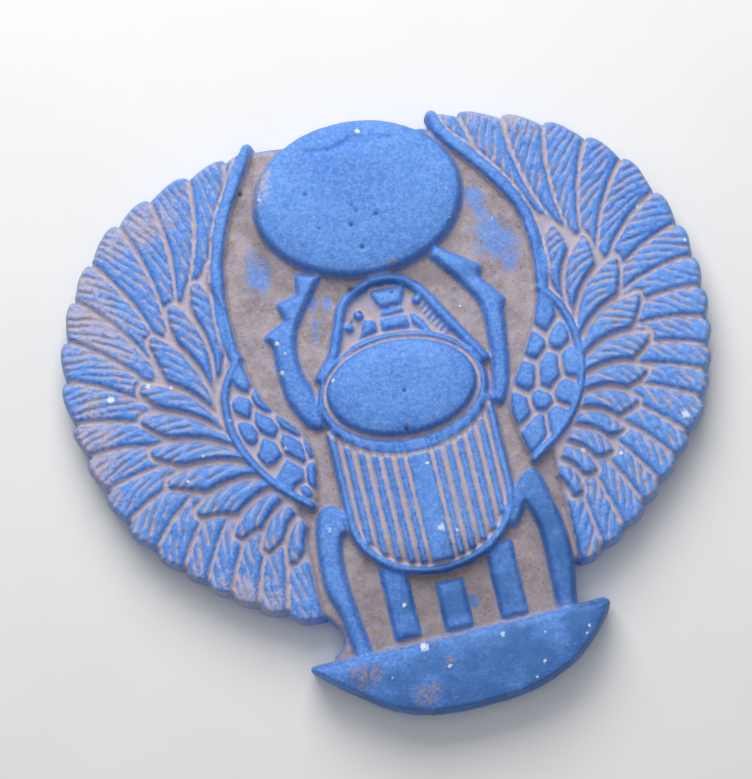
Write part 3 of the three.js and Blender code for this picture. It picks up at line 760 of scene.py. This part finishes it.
def chest(relief):
    """The domed chest plate in its grooved ring, with a soil line under the ring."""
    lay(relief, oval(*CHEST_RING), CHEST_RING_TOP, EDGE["ring"])
    x, y, half_width, half_height, turn = CHEST_RING
    seam = CHEST_SEAM
    around = oval(x, y, half_width + seam["away"], half_height + seam["away"], turn)
    lower_half = around[seam["start"]:seam["end"]]
    ridge_cut(relief, lower_half, seam["width"], seam["depth"], seam["soil"])
    sink(relief, oval(*CHEST_GROOVE), CHEST_GROOVE_FLOOR, EDGE["groove"])
    lay(relief, oval(*CHEST_PLATE), dome(*CHEST_DOME), EDGE["chest"])


def carve(places):
    """The whole carved face at these places, from the ground up."""
    relief = new_relief(places)
    lay(relief, joined(GROUND_OUTLINE), GROUND, EDGE["ground"], 0)
    wing(relief, LEFT_WING, LEFT_BLADES)
    wing(relief, RIGHT_WING, RIGHT_BLADES)
    lay(relief, joined(FOOT_OUTLINE), dome(*FOOT_DOME), EDGE["foot"], skirt=SKIRT["foot"])
    for left, right, top, bottom in TAIL_BARS:
        bar = rectangle(left, right, top, bottom)
        lay(relief, bar, TAIL_TOP, EDGE["bar"], skirt=SKIRT["bar"])
    wing_case(relief)
    for leg in LEG_OUTLINES:
        lay(relief, joined(leg), LEG_TOP, EDGE["leg"], skirt=SKIRT["leg"], grow=LEG_GROWTH)
    head(relief)
    chest(relief)
    lay(relief, oval(*DISC, sides=96), dome(*DISC_DOME), EDGE["disc"], skirt=SKIRT["disc"])
    age(relief)
    edge = np.clip(1 - relief["inside"] / RIM_REACH, 0, 1)
    # The rim of each feather is paler: partly wear, partly a painted highlight on its rounded edge.
    relief["rim"] = edge * (relief["blade"] > 0)
    relief["blue"] = np.maximum(relief["blue"], RIM_BLUE * edge)
    return relief


def spots(places, marks, soft=0.5):
    """How much each place is covered by round marks: 1 inside them, fading at their edge."""
    cover = np.zeros(len(places))
    for x, y, radius in marks:
        share = np.hypot(places[:, 0] - x, places[:, 1] - y) / radius
        cover = np.maximum(cover, np.clip((1 + soft - share) / (2 * soft), 0, 1))
    return cover


# Where a patch has faded out, as a share of its oval's own reach.
PATCH_END = 1.5


def patches(places, marks):
    """How much each place is covered by wide soft oval marks, 1 in the middle of one."""
    cover = np.zeros(len(places))
    for x, y, half_width, half_height, turn in marks:
        reach = oval_reach(places, x, y, half_width, half_height, turn)
        cover = np.maximum(cover, np.clip(PATCH_END - reach, 0, 1))
    return cover


# How much each mark lifts the face, or cuts into it.
MARK_HEIGHT = {"speck": 0.12, "stain": 0.1, "pit": -0.45}
STAIN_SOFTNESS = 0.7


def age(relief):
    """Adds the creases, pits and stuck lumps, and says where each mark is."""
    places = relief["places"]
    for line in DISC_CREASES:
        ridge_cut(relief, line, CREASE["width"], CREASE["depth"])
    relief["pit"] = spots(places, PITS)
    relief["speck"] = spots(places, SPECKS)
    relief["stain"] = spots(places, STAINS, STAIN_SOFTNESS)
    relief["clean"] = patches(places, CLEAN_PATCHES)
    relief["dusty"] = patches(places, DUSTY_PATCHES)
    relief["grime_and_shade"] = patches(places, GRIME_AND_SHADE_PATCHES)
    relief["height"] += sum(height * relief[name] for name, height in MARK_HEIGHT.items())


# ---------------------------------------------------------------- the closed body
# How far wear softens the face, how far off its hollows are felt, how near the outline they
# fade, how far outside the outline a place still counts, and how far the grid reaches past the
# plaque, all in mm.
WEAR = 0.22
HOLLOW_REACH = 0.9
HOLLOW_FADE = 1.5
COUNTED_FROM = -0.2
FACE_MARGIN = 2


def blurred(grid, weight, reach):
    """A grid averaged over a soft spot of `reach` mm, counting only cells that have weight."""
    spread = int(math.ceil(3 * reach / FACE_PITCH))
    offsets = np.arange(-spread, spread + 1) * FACE_PITCH
    kernel = np.exp(-0.5 * (offsets / reach) ** 2)
    kernel /= kernel.sum()
    sums = []
    for values in (grid * weight, weight):
        for axis in (0, 1):
            values = np.apply_along_axis(np.convolve, axis, values, kernel, "same")
        sums.append(values)
    return sums[0] / np.maximum(sums[1], 1e-9)


def sampled(grid, low, places):
    """A grid's values at any places, by straight lines between its points."""
    at = (places - low) / FACE_PITCH
    index = np.floor(at).astype(int)
    x, y = (at - index).T
    i, j = index.T
    lower = grid[j, i] * (1 - x) + grid[j, i + 1] * x
    upper = grid[j + 1, i] * (1 - x) + grid[j + 1, i + 1] * x
    return lower * (1 - y) + upper * y


def face_mesh():
    """The face as cells of a fine grid, trimmed exactly to the plaque's outline."""
    low = BOX_LOW[:2] - FACE_MARGIN
    high = BOX_HIGH[:2] + FACE_MARGIN
    columns, rows = np.ceil((high - low) / FACE_PITCH).astype(int) + 1
    x = low[0] + FACE_PITCH * np.arange(columns)
    y = low[1] + FACE_PITCH * np.arange(rows)
    grid = np.stack(np.meshgrid(x, y), -1)
    relief = carve(grid.reshape(-1, 2))
    inside = relief["inside"].reshape(rows, columns)
    within = inside > 0
    weight = (inside > COUNTED_FROM).astype(float)
    worn = blurred(relief["height"].reshape(rows, columns), weight, WEAR)
    # How far each place lies below its surroundings: it sets the thin soil in the hollows and the
    # painted shade that darkens the blue there.
    hollow = (blurred(worn, weight, HOLLOW_REACH) - worn) * np.clip(inside / HOLLOW_FADE, 0, 1)
    number = np.full((rows, columns), -1)
    number[within] = np.arange(within.sum())
    count = within.sum()
    rim = []
    crossings = {}
    for name, other in (("x", (slice(None), slice(1, None))), ("y", (slice(1, None), slice(None)))):
        first = tuple(slice(None, -1) if part.start == 1 else part for part in other)
        start, end = inside[first], inside[other]
        crosses = (start > 0) != (end > 0)
        share = (start / (start - end + 1e-12))[crosses][:, None]
        rim.append(grid[first][crosses] * (1 - share) + grid[other][crosses] * share)
        table = np.full(start.shape, -1)
        table[crosses] = count + np.arange(crosses.sum())
        count += crosses.sum()
        crossings[name] = table
    rim = np.vstack(rim)
    corner = [number[:-1, :-1], number[:-1, 1:], number[1:, 1:], number[1:, :-1]]
    edge = [crossings["x"][:-1], crossings["y"][:, 1:], crossings["x"][1:], crossings["y"][:, :-1]]
    walk = np.stack([item for pair in zip(corner, edge) for item in pair], -1).reshape(-1, 8)
    cells = walk[(walk >= 0).sum(1) >= 3].tolist()
    faces = [tuple(v for v in cell if v >= 0) for cell in cells]
    rim_relief = carve(rim)
    for name, values in (("height", worn), ("hollow", hollow)):
        relief[name] = values.ravel()
        rim_relief[name] = sampled(values, low, rim)
    within = within.ravel()
    fields = {name: np.concatenate([relief[name][within], rim_relief[name]])
              for name in [*KEPT, "height"]}
    return np.vstack([relief["places"][within], rim]), fields, faces, within.sum()


def outward_at(rim):
    """The outline's outward direction at each point of the rim."""
    step = 0.3
    slope = []
    for shift in ([step, 0], [0, step]):
        slope.append(carve(rim + shift)["inside"] - carve(rim - shift)["inside"])
    slope = np.stack(slope, -1)
    return -slope / np.maximum(np.hypot(*slope.T), 1e-9)[:, None]


# Down the side: share of the height above the back, and how far out of the rim.
SIDE_RINGS = [[0.75, 0.12], [0.5, 0.18], [0.28, 0.1], [0.13, -0.1], [0.04, -0.45], [0, -1.0]]
BACK_PITCH = 2.4


def body_mesh():
    """The whole plaque: carved face, side and flat back, as one closed mesh."""
    places, fields, faces, face_count = face_mesh()
    rim = places[face_count:]
    outward = outward_at(rim)
    rim_height = fields["height"][face_count:]
    open_edges = {}
    for face in faces:
        for a, b in zip(face, face[1:] + face[:1]):
            if min(a, b) >= face_count and open_edges.pop((b, a), None) is None:
                open_edges[(a, b)] = (a - face_count, b - face_count)
    points = [np.column_stack([places, fields["height"]])]
    first = len(places)
    walls = []
    for share, out in SIDE_RINGS:
        points.append(np.column_stack([rim + outward * out, rim_height * share]))
        above = face_count if first == len(places) else first - len(rim)
        for a, b in open_edges.values():
            walls.append((above + b, above + a, first + a, first + b))
        first += len(rim)
    last = first - len(rim)
    back_places, back_faces = back_mesh(points[-1][:, :2], list(open_edges.values()))
    extra = back_places[len(rim):]
    points.append(np.column_stack([extra, np.zeros(len(extra))]))
    back = [tuple(last + v for v in face[::-1]) for face in back_faces]
    return np.vstack(points), fields, faces + walls + back


def back_mesh(rim, edges):
    """The back, filled between its rim points with evenly spread points."""
    low, high = rim.min(0), rim.max(0)
    x = np.arange(low[0], high[0], BACK_PITCH)
    y = np.arange(low[1], high[1], BACK_PITCH)
    grid = np.stack(np.meshgrid(x, y), -1).reshape(-1, 2)
    deep = carve(grid)["inside"] > BACK_PITCH - SIDE_RINGS[-1][1]
    vectors = [Vector(p) for p in np.vstack([rim, grid[deep]])]
    result = geometry.delaunay_2d_cdt(vectors, edges, [], 1, 1e-7)
    return sorted_back(result, len(rim))


def sorted_back(result, rim_count):
    """Puts the filled back in the order of the points that were given to it."""
    made, _, triangles, given = result[:4]
    order = {}
    extra = []
    for index, sources in enumerate(given):
        if sources and min(sources) < rim_count:
            order[index] = min(sources)
        else:
            order[index] = rim_count + len(extra)
            extra.append(made[index])
    places = np.vstack([np.zeros((rim_count, 2)), np.array([list(p) for p in extra])])
    return places, [tuple(order[v] for v in face) for face in triangles]


# The worn blue of the side walls and the back, and their pale rim, partly wear and partly painted
# highlight.
SIDE_VALUES = {"blue": 0.8, "rim": 0.5}


def placed(name, data):
    """A new object of the scene with this mesh, camera or light."""
    made = bpy.data.objects.new(name, data)
    bpy.context.scene.collection.objects.link(made)
    return made


def plaque():
    """The carved plaque, centred on the frame's solid, with its marks as attributes."""
    points, fields, faces = body_mesh()
    shift = (BOX_LOW + BOX_HIGH) / 2 - (points.min(0) + points.max(0)) / 2
    points[:, :2] += shift[:2]
    mesh = bpy.data.meshes.new("winged_scarab_carved")
    mesh.from_pydata((points * MM).tolist(), [], faces)
    for name in KEPT:
        values = np.full(len(points), SIDE_VALUES.get(name, 0.0))
        values[:len(fields[name])] = fields[name]
        mesh.attributes.new(name, "FLOAT", "POINT").data.foreach_set("value", values)
    mesh.polygons.foreach_set("use_smooth", np.ones(len(mesh.polygons), bool))
    return placed("winged_scarab_carved", mesh)


# ---------------------------------------------------------------- nodes and colours
MATHS = "ShaderNodeMath"


def linear(colour):
    """An sRGB hex colour as linear values with full alpha."""
    parts = [int(colour[i:i + 2], 16) / 255 for i in (1, 3, 5)]
    return [p / 12.92 if p <= 0.04045 else ((p + 0.055) / 1.055) ** 2.4 for p in parts] + [1.0]


def add(tree, kind, inputs=None, out=0, **settings):
    """Adds a node with its settings, fills its inputs with values or links, returns an output."""
    made = tree.nodes.new(kind)
    for name, value in settings.items():
        setattr(made, name, value)
    for key, value in (inputs or {}).items():
        socket = made.inputs[key] if isinstance(key, int) else next(
            s for s in made.inputs if key in (s.identifier, s.name) and s.enabled)
        if isinstance(value, bpy.types.NodeSocket):
            tree.links.new(value, socket)
        else:
            socket.default_value = value
    return made.outputs[out]


# ---------------------------------------------------------------- barbs and cast surface
CAST_INPUTS = {
    "Barb pitch": 1.3,
    "Barb depth": 0.55 * MM,
    "Barb sway": 0.88,
    "Barb sway size": 4.0 * MM,
    "Barb break size": 2.2 * MM,
    "Blade shift": 0.37,
    "Unevenness": 0.44 * MM,
    "Unevenness size": 2.6 * MM,
    "Seed": 4.0,
}


def cast_surface_tree(material):
    """Cuts the feathers' slanting barbs, then makes the surface as uneven as cast frit."""
    tree = bpy.data.node_groups.new("cast_surface", "GeometryNodeTree")
    tree.interface.new_socket("Geometry", in_out="INPUT", socket_type="NodeSocketGeometry")
    for name, value in CAST_INPUTS.items():
        socket = tree.interface.new_socket(name, in_out="INPUT", socket_type="NodeSocketFloat")
        socket.default_value = value
    tree.interface.new_socket("Geometry", in_out="OUTPUT", socket_type="NodeSocketGeometry")
    given = tree.nodes.new("NodeGroupInput").outputs
    place = add(tree, "GeometryNodeInputPosition")
    carved = {name: add(tree, "GeometryNodeInputNamedAttribute", {"Name": name}, data_type="FLOAT")
              for name in ("barb_run", "blade", "barbs")}

    def pattern(size, detail):
        """A soft random pattern with features of the size that this input gives."""
        finer = add(tree, MATHS, {0: 1.0, 1: given[size]}, operation="DIVIDE")
        where = add(tree, "ShaderNodeVectorMath", {0: place, "Scale": finer}, operation="SCALE")
        return add(tree, "ShaderNodeTexNoise", {"Vector": where, "W": given["Seed"], "Scale": 1.0,
                   "Detail": detail}, noise_dimensions="4D")

    def swing(size, detail, reach):
        """The same pattern about nothing, as wide from end to end as the input `reach`."""
        centred = add(tree, MATHS, {0: pattern(size, detail), 1: 0.5}, operation="SUBTRACT")
        return add(tree, MATHS, {0: centred, 1: given[reach]}, operation="MULTIPLY")

    # Each barb is half a wave across the blade, and every blade starts at another place in it.
    sway = swing("Barb sway size", 1.0, "Barb sway")
    turns = add(tree, MATHS, {0: carved["barb_run"], 1: given["Barb pitch"]}, operation="DIVIDE")
    swayed = add(tree, MATHS, {0: turns, 1: sway}, operation="ADD")
    phase = add(tree, MATHS, {0: carved["blade"], 1: given["Blade shift"], 2: swayed},
                operation="MULTIPLY_ADD")
    angle = add(tree, MATHS, {0: phase, 1: math.pi}, operation="MULTIPLY")
    wave = add(tree, MATHS, {0: angle}, operation="SINE")
    crest = add(tree, MATHS, {0: wave}, operation="ABSOLUTE")
    furrow = add(tree, MATHS, {0: 1.0, 1: crest}, operation="SUBTRACT")

    # The barbs break off where a pattern is low, so that no two strokes are alike.
    broken = add(tree, "ShaderNodeMapRange", {"Value": pattern("Barb break size", 2.0),
                 "From Min": 0.36, "From Max": 0.58, "To Min": 0.1, "To Max": 1.2})
    shown = add(tree, MATHS, {0: carved["barbs"], 1: broken}, operation="MULTIPLY")
    groove = add(tree, MATHS, {0: furrow, 1: shown}, operation="MULTIPLY")
    deep = add(tree, MATHS, {0: furrow, 1: given["Barb depth"]}, operation="MULTIPLY")
    cut = add(tree, MATHS, {0: deep, 1: shown}, operation="MULTIPLY")
    sunk = add(tree, "ShaderNodeCombineXYZ", {"Z": cut})

    # The back stays flat: the unevenness starts just above it.
    uneven = swing("Unevenness size", 4.0, "Unevenness")
    up = add(tree, "ShaderNodeSeparateXYZ", {0: place}, out=2)
    off_back = add(tree, "ShaderNodeMapRange", {"Value": up, "From Min": 0.2 * MM, "From Max": 2.0 * MM})
    amount = add(tree, MATHS, {0: uneven, 1: off_back}, operation="MULTIPLY")
    normal = add(tree, "GeometryNodeInputNormal")
    push = add(tree, "ShaderNodeVectorMath", {0: normal, "Scale": amount}, operation="SCALE")
    offset = add(tree, "ShaderNodeVectorMath", {0: push, 1: sunk}, operation="SUBTRACT")
    shaped = add(tree, "GeometryNodeSetPosition", {"Geometry": given["Geometry"], "Offset": offset})
    stored = add(tree, "GeometryNodeStoreNamedAttribute", {"Geometry": shaped, "Name": "barb_groove",
                 "Value": groove}, data_type="FLOAT", domain="POINT")
    real = add(tree, "GeometryNodeRealizeInstances", {"Geometry": stored})
    finished = add(tree, "GeometryNodeSetMaterial", {"Geometry": real, "Material": material})
    result = tree.nodes.new("NodeGroupOutput")
    tree.links.new(finished, result.inputs[0])
    return tree


# The finished piece is thinned to at most this many triangles.
TRIANGLES = 190000


def finish_plaque(carved, material):
    """Runs the cast-surface tree, thins the mesh and keeps the result as a plain piece."""
    carved.data.materials.append(material)
    surface = carved.modifiers.new("cast_surface", "NODES")
    surface.node_group = cast_surface_tree(material)
    sockets = {item.name: item.identifier for item in surface.node_group.interface.items_tree
               if item.in_out == "INPUT"}
    for name, value in CAST_INPUTS.items():
        surface[sockets[name]] = value
    triangles = sum(len(face.vertices) - 2 for face in carved.data.polygons)
    thin = carved.modifiers.new("thin", "DECIMATE")
    thin.ratio = min(1, TRIANGLES / triangles)
    evaluated = carved.evaluated_get(bpy.context.evaluated_depsgraph_get())
    mesh = bpy.data.meshes.new_from_object(evaluated)
    made = placed("winged_scarab_frit", mesh)
    old = carved.data
    bpy.data.objects.remove(carved)
    bpy.data.meshes.remove(old)
    mesh.name = "winged_scarab_frit"
    return made


# ---------------------------------------------------------------- materials
# Colours of the frit, soil and marks. The grime blue also stands for painted shade, and the bloom also
# for a painted highlight along the edges.
COLOURS = {
    "blue": "#437CCC", "light_blue": "#5B91DA", "deep_blue": "#295DAA", "bloom_and_highlight": "#9DB7E3",
    "grime_and_shade_blue": "#2B5B97", "dark_soil": "#857770", "soil": "#A69792", "sand": "#B9A699",
    "bluish_soil": "#8791C2", "shaded_soil": "#6E625F", "black": "#2E2C33", "dust": "#BAA9A9",
    "lavender_dust": "#9DA0C2", "barb_dust": "#8F9CC2", "tan_dust": "#AD9FA2",
    "brown": "#957F76", "lime": "#DCE2EA",
}
# The random patterns of the surface: size in mm, detail and roughness. The grain of real frit is
# finer still, and is drawn as coarse as it needs to show.
PATTERNS = {
    "broad": [16, 3, 0.55],
    "medium": [3.6, 3, 0.55],
    "fine": [1.0, 3, 0.55],
    "speckle": [0.75, 1, 0.6],
    "dust": [0.6, 4, 0.7],
    "grain": [0.35, 2, 0.55],
}
# Marks with edges frayed by patterns: the mark, and how far each pattern swings its value.
FRAYED = {
    "powdered": ["dusty", {"dust": 3.0, "medium": 1.5}],
    "cloud": ["nothing", {"medium": 2.2, "broad": 1.4}],
    "painted": ["blue", {"fine": 0.9, "medium": 0.7}],
    "furrow": ["barb_groove", {"fine": 0.45, "medium": 0.35}],
    "low": ["hollow", {"fine": 0.27, "medium": 0.21}],
    "rubbed": ["clean", {"medium": 1.6}],
    "chalk": ["speck", {"dust": 1.5}],
}
# Ramps: the pattern or mark that each follows, the values at which it starts and is full, and
# the most that it reaches.
RAMPS = {
    "powder": ["powdered", 0.5, 1.2, 1.0],
    "tan_spots": ["medium", 0.4, 0.62, 1.0],
    "cloudy": ["grime_and_shade", 0.0, 0.5, 1.0],
    "dots": ["dust", 0.42, 0.56, 1.0],
    "covered": ["painted", 0.35, 0.65, 1.0],
    "cleaned": ["rubbed", 0.5, 1.0, 0.8],
    "thin_soil": ["low", 0.25, 0.55, 0.5],
}
# Finishes, each made of coats over a ground, in order. A coat has its colour or finish, and a
# ramp as above. Dust is packed in the barbs, pale dust lies in the higher cuts, and the soil
# shows where there is no blue.
FINISHES = {
    "packed_dust": ["barb_dust", [
        ["tan_dust", "tan", 0.0, 1.0, 1.0],
    ]],
    "worn_blue": ["blue", [
        ["light_blue", "broad", 0.35, 0.65, 1.0],
        ["deep_blue", "fine", 0.4, 0.75, 0.55],
        ["deep_blue", "grain", 0.5, 0.75, 0.45],
        ["bloom_and_highlight", "dust", 0.42, 0.8, 0.5],
        # Painted shade: the blue is darker in the hollows.
        ["deep_blue", "hollow", 0.05, 0.6, 0.2],
        # Clouds of grime and painted shade darken the blue.
        ["grime_and_shade_blue", "clouded", 0.25, 1.15, 0.8],
        ["dust", "powdered", 0.5, 1.2, 0.65],
        # Painted highlight: the rim of the feathers and the side walls is paler, partly from wear.
        ["bloom_and_highlight", "rim", 0.0, 1.0, 0.35],
        ["packed_dust", "furrow", 0.1, 0.5, 0.82],
    ]],
    "pale_dust": ["dust", [
        ["lavender_dust", "fine", 0.4, 0.65, 1.0],
    ]],
    "mixed_soil": ["dark_soil", [
        ["soil", "medium", 0.35, 0.65, 1.0],
        ["sand", "fine", 0.5, 0.7, 0.5],
        ["bluish_soil", "speckle", 0.42, 0.72, 0.5],
        # Grime and painted shade darken the soil.
        ["shaded_soil", "grime_and_shade", 0.0, 1.0, 0.45],
        ["black", "grain", 0.62, 0.7, 0.5],
        ["pale_dust", "up", 6.9 * MM, 7.6 * MM, 0.8],
    ]],
    "face": ["worn_blue", [
        ["mixed_soil", "soiled", 0.0, 1.0, 1.0],
        ["brown", "dotted", 0.0, 1.0, 0.85],
        ["lime", "chalk", 0.6, 0.95, 0.85],
        ["black", "pit", 0.0, 1.0, 0.85],
    ]],
}


def blue_frit():
    """Moulded Egyptian blue frit, matt and slightly sandy, paler where it is rubbed and with a
    painted highlight along its edges, painted shade deepening the blue in its hollows, clouds of
    grime and painted shade, and grey-brown burial soil packed in the cuts."""
    material = bpy.data.materials.new("blue_frit_with_soil")
    material.use_nodes = True
    tree = material.node_tree
    tree.nodes.clear()
    place = add(tree, "ShaderNodeTexCoord", out=3)
    shown = {name: add(tree, "ShaderNodeTexNoise", {"Vector": place, "Scale": 1 / (size * MM),
                       "Detail": detail, "Roughness": roughness})
             for name, (size, detail, roughness) in PATTERNS.items()}
    for name in ("blue", "hollow", "rim", "barb_groove", *MARKS):
        shown[name] = add(tree, "ShaderNodeAttribute", attribute_name=name, out=2)
    shown["up"] = add(tree, "ShaderNodeSeparateXYZ", {0: place}, out=2)
    shown["nothing"] = 0.0
    for name, (mark, reaches) in FRAYED.items():
        shown[name] = shown[mark]
        for pattern, reach in reaches.items():
            swing = add(tree, MATHS, {0: shown[pattern], 1: reach, 2: -reach / 2},
                        operation="MULTIPLY_ADD")
            shown[name] = add(tree, MATHS, {0: shown[name], 1: swing}, operation="ADD")
    for name, (source, start, full, most) in RAMPS.items():
        shown[name] = add(tree, "ShaderNodeMapRange", {"Value": shown[source], "From Min": start,
                          "From Max": full, "To Max": most})

    # Grime and painted shade lie in clouds and stains are dotted. The dust in the barbs is tan in
    # places.
    cloud = add(tree, MATHS, {0: shown["cloud"], 1: shown["cloudy"]}, operation="MULTIPLY")
    shown["clouded"] = add(tree, MATHS, {0: shown["grime_and_shade"], 1: cloud}, operation="ADD")
    shown["dotted"] = add(tree, MATHS, {0: shown["stain"], 1: shown["dots"]}, operation="MULTIPLY")
    shown["tan"] = add(tree, MATHS, {0: shown["powder"], 1: shown["tan_spots"]}, operation="MAXIMUM")

    # Soil shows where there is no blue, less so where it is rubbed clean, and thinly in hollows.
    gone = add(tree, MATHS, {0: 1.0, 1: shown["covered"]}, operation="SUBTRACT")
    dirty = add(tree, MATHS, {0: 1.0, 1: shown["cleaned"]}, operation="SUBTRACT")
    bare = add(tree, MATHS, {0: gone, 1: dirty}, operation="MULTIPLY")
    shown["soiled"] = add(tree, MATHS, {0: bare, 1: shown["thin_soil"]}, operation="MAXIMUM")

    colours = {name: linear(colour) for name, colour in COLOURS.items()}
    for finish, (ground, coats) in FINISHES.items():
        colours[finish] = colours[ground]
        for colour, source, start, full, most in coats:
            cover = add(tree, "ShaderNodeMapRange", {"Value": shown[source], "From Min": start,
                        "From Max": full, "To Max": most})
            colours[finish] = add(tree, "ShaderNodeMix", {"Factor_Float": cover,
                                  "A_Color": colours[finish], "B_Color": colours[colour]},
                                  out=2, data_type="RGBA")

    half = add(tree, MATHS, {0: shown["grain"], 1: 0.4}, operation="MULTIPLY")
    height = add(tree, MATHS, {0: shown["dust"], 1: 0.6, 2: half}, operation="MULTIPLY_ADD")
    bump = add(tree, "ShaderNodeBump", {"Height": height, "Strength": 0.6, "Distance": 0.3 * MM})
    shader = add(tree, "ShaderNodeBsdfPrincipled", {"Base Color": colours["face"],
                 "Roughness": 0.6, "IOR": 1.5, "Specular IOR Level": 0.35, "Normal": bump})
    output = tree.nodes.new("ShaderNodeOutputMaterial")
    tree.links.new(shader, output.inputs["Surface"])
    return material


def pale_table():
    """A pale matt table top of painted board, which gives an even, unpatterned ground."""
    material = bpy.data.materials.new("pale_painted_board")
    material.use_nodes = True
    tree = material.node_tree
    shader = tree.nodes["Principled BSDF"]
    shader.inputs["Roughness"].default_value = 0.8
    speckle = add(tree, "ShaderNodeTexNoise", {"Vector": add(tree, "ShaderNodeTexCoord", out=3),
                  "Scale": 40.0, "Detail": 3.0})
    tint = add(tree, "ShaderNodeMix", {"Factor_Float": speckle, "A_Color": linear("#D9D7D2"),
               "B_Color": linear("#DFDDD8")}, out=2, data_type="RGBA")
    tree.links.new(tint, shader.inputs["Base Color"])
    return material


# ---------------------------------------------------------------- stage, light and camera
def table():
    size = 2.0
    mesh = bpy.data.meshes.new("table_top")
    corners = [(-size, -size, 0), (size, -size, 0), (size, size, 0), (-size, size, 0)]
    mesh.from_pydata(corners, [], [(0, 1, 2, 3)])
    mesh.materials.append(pale_table())
    placed("table_top", mesh)


TARGET = Vector((0, 0, 8 * MM))
CAMERA_AWAY = 0.480
CAMERA_TILT = math.radians(6)
CAMERA_ROLL = math.radians(13.5)


def camera_axes():
    """Right, up and back of the camera: nearly square on, with the plaque turned in its frame."""
    back = Vector((0, -math.sin(CAMERA_TILT), math.cos(CAMERA_TILT)))
    upright = Vector((0, math.cos(CAMERA_TILT), math.sin(CAMERA_TILT)))
    level = Vector((1, 0, 0))
    up = math.cos(CAMERA_ROLL) * upright + math.sin(CAMERA_ROLL) * level
    right = math.cos(CAMERA_ROLL) * level - math.sin(CAMERA_ROLL) * upright
    return right, up, back


def camera():
    data = bpy.data.cameras.new("camera")
    data.lens = 131.75
    data.shift_x = -0.0314
    data.shift_y = 0.0291
    data.clip_start = 0.01
    axes = camera_axes()
    turned = Matrix(axes).transposed().to_4x4()
    made = placed("camera", data)
    made.matrix_world = Matrix.Translation(TARGET + axes[2] * CAMERA_AWAY) @ turned
    bpy.context.scene.camera = made


def soft_light(name, towards, away, size, power, colour):
    """A square soft light that stands `away` metres off in the direction `towards`."""
    data = bpy.data.lights.new(name, "AREA")
    data.size = size
    data.energy = power
    data.color = linear(colour)[:3]
    made = placed(name, data)
    made.location = TARGET + towards.normalized() * away
    made.rotation_euler = towards.to_track_quat("Z", "Y").to_euler()


def light():
    right, up, back = camera_axes()
    soft_light("window", up * 1.0 + back * 0.85 - right * 0.2, away=0.42, size=0.3, power=1.9,
               colour="#FFFFFF")
    soft_light("room", back * 1.0 + up * 0.15 - right * 0.05, away=1.2, size=1.0, power=4.2,
               colour="#F4F6FF")
    world = bpy.data.worlds.new("soft_room")
    world.use_nodes = True
    world.node_tree.nodes["Background"].inputs["Color"].default_value = linear("#DDE3EE")
    world.node_tree.nodes["Background"].inputs["Strength"].default_value = 0.35
    bpy.context.scene.world = world
    bpy.context.scene.view_settings.view_transform = "Standard"


# ---------------------------------------------------------------- the scene
camera()
light()
table()
scarab = finish_plaque(plaque(), blue_frit())
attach(scarab, "root")
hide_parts("winged_scarab")
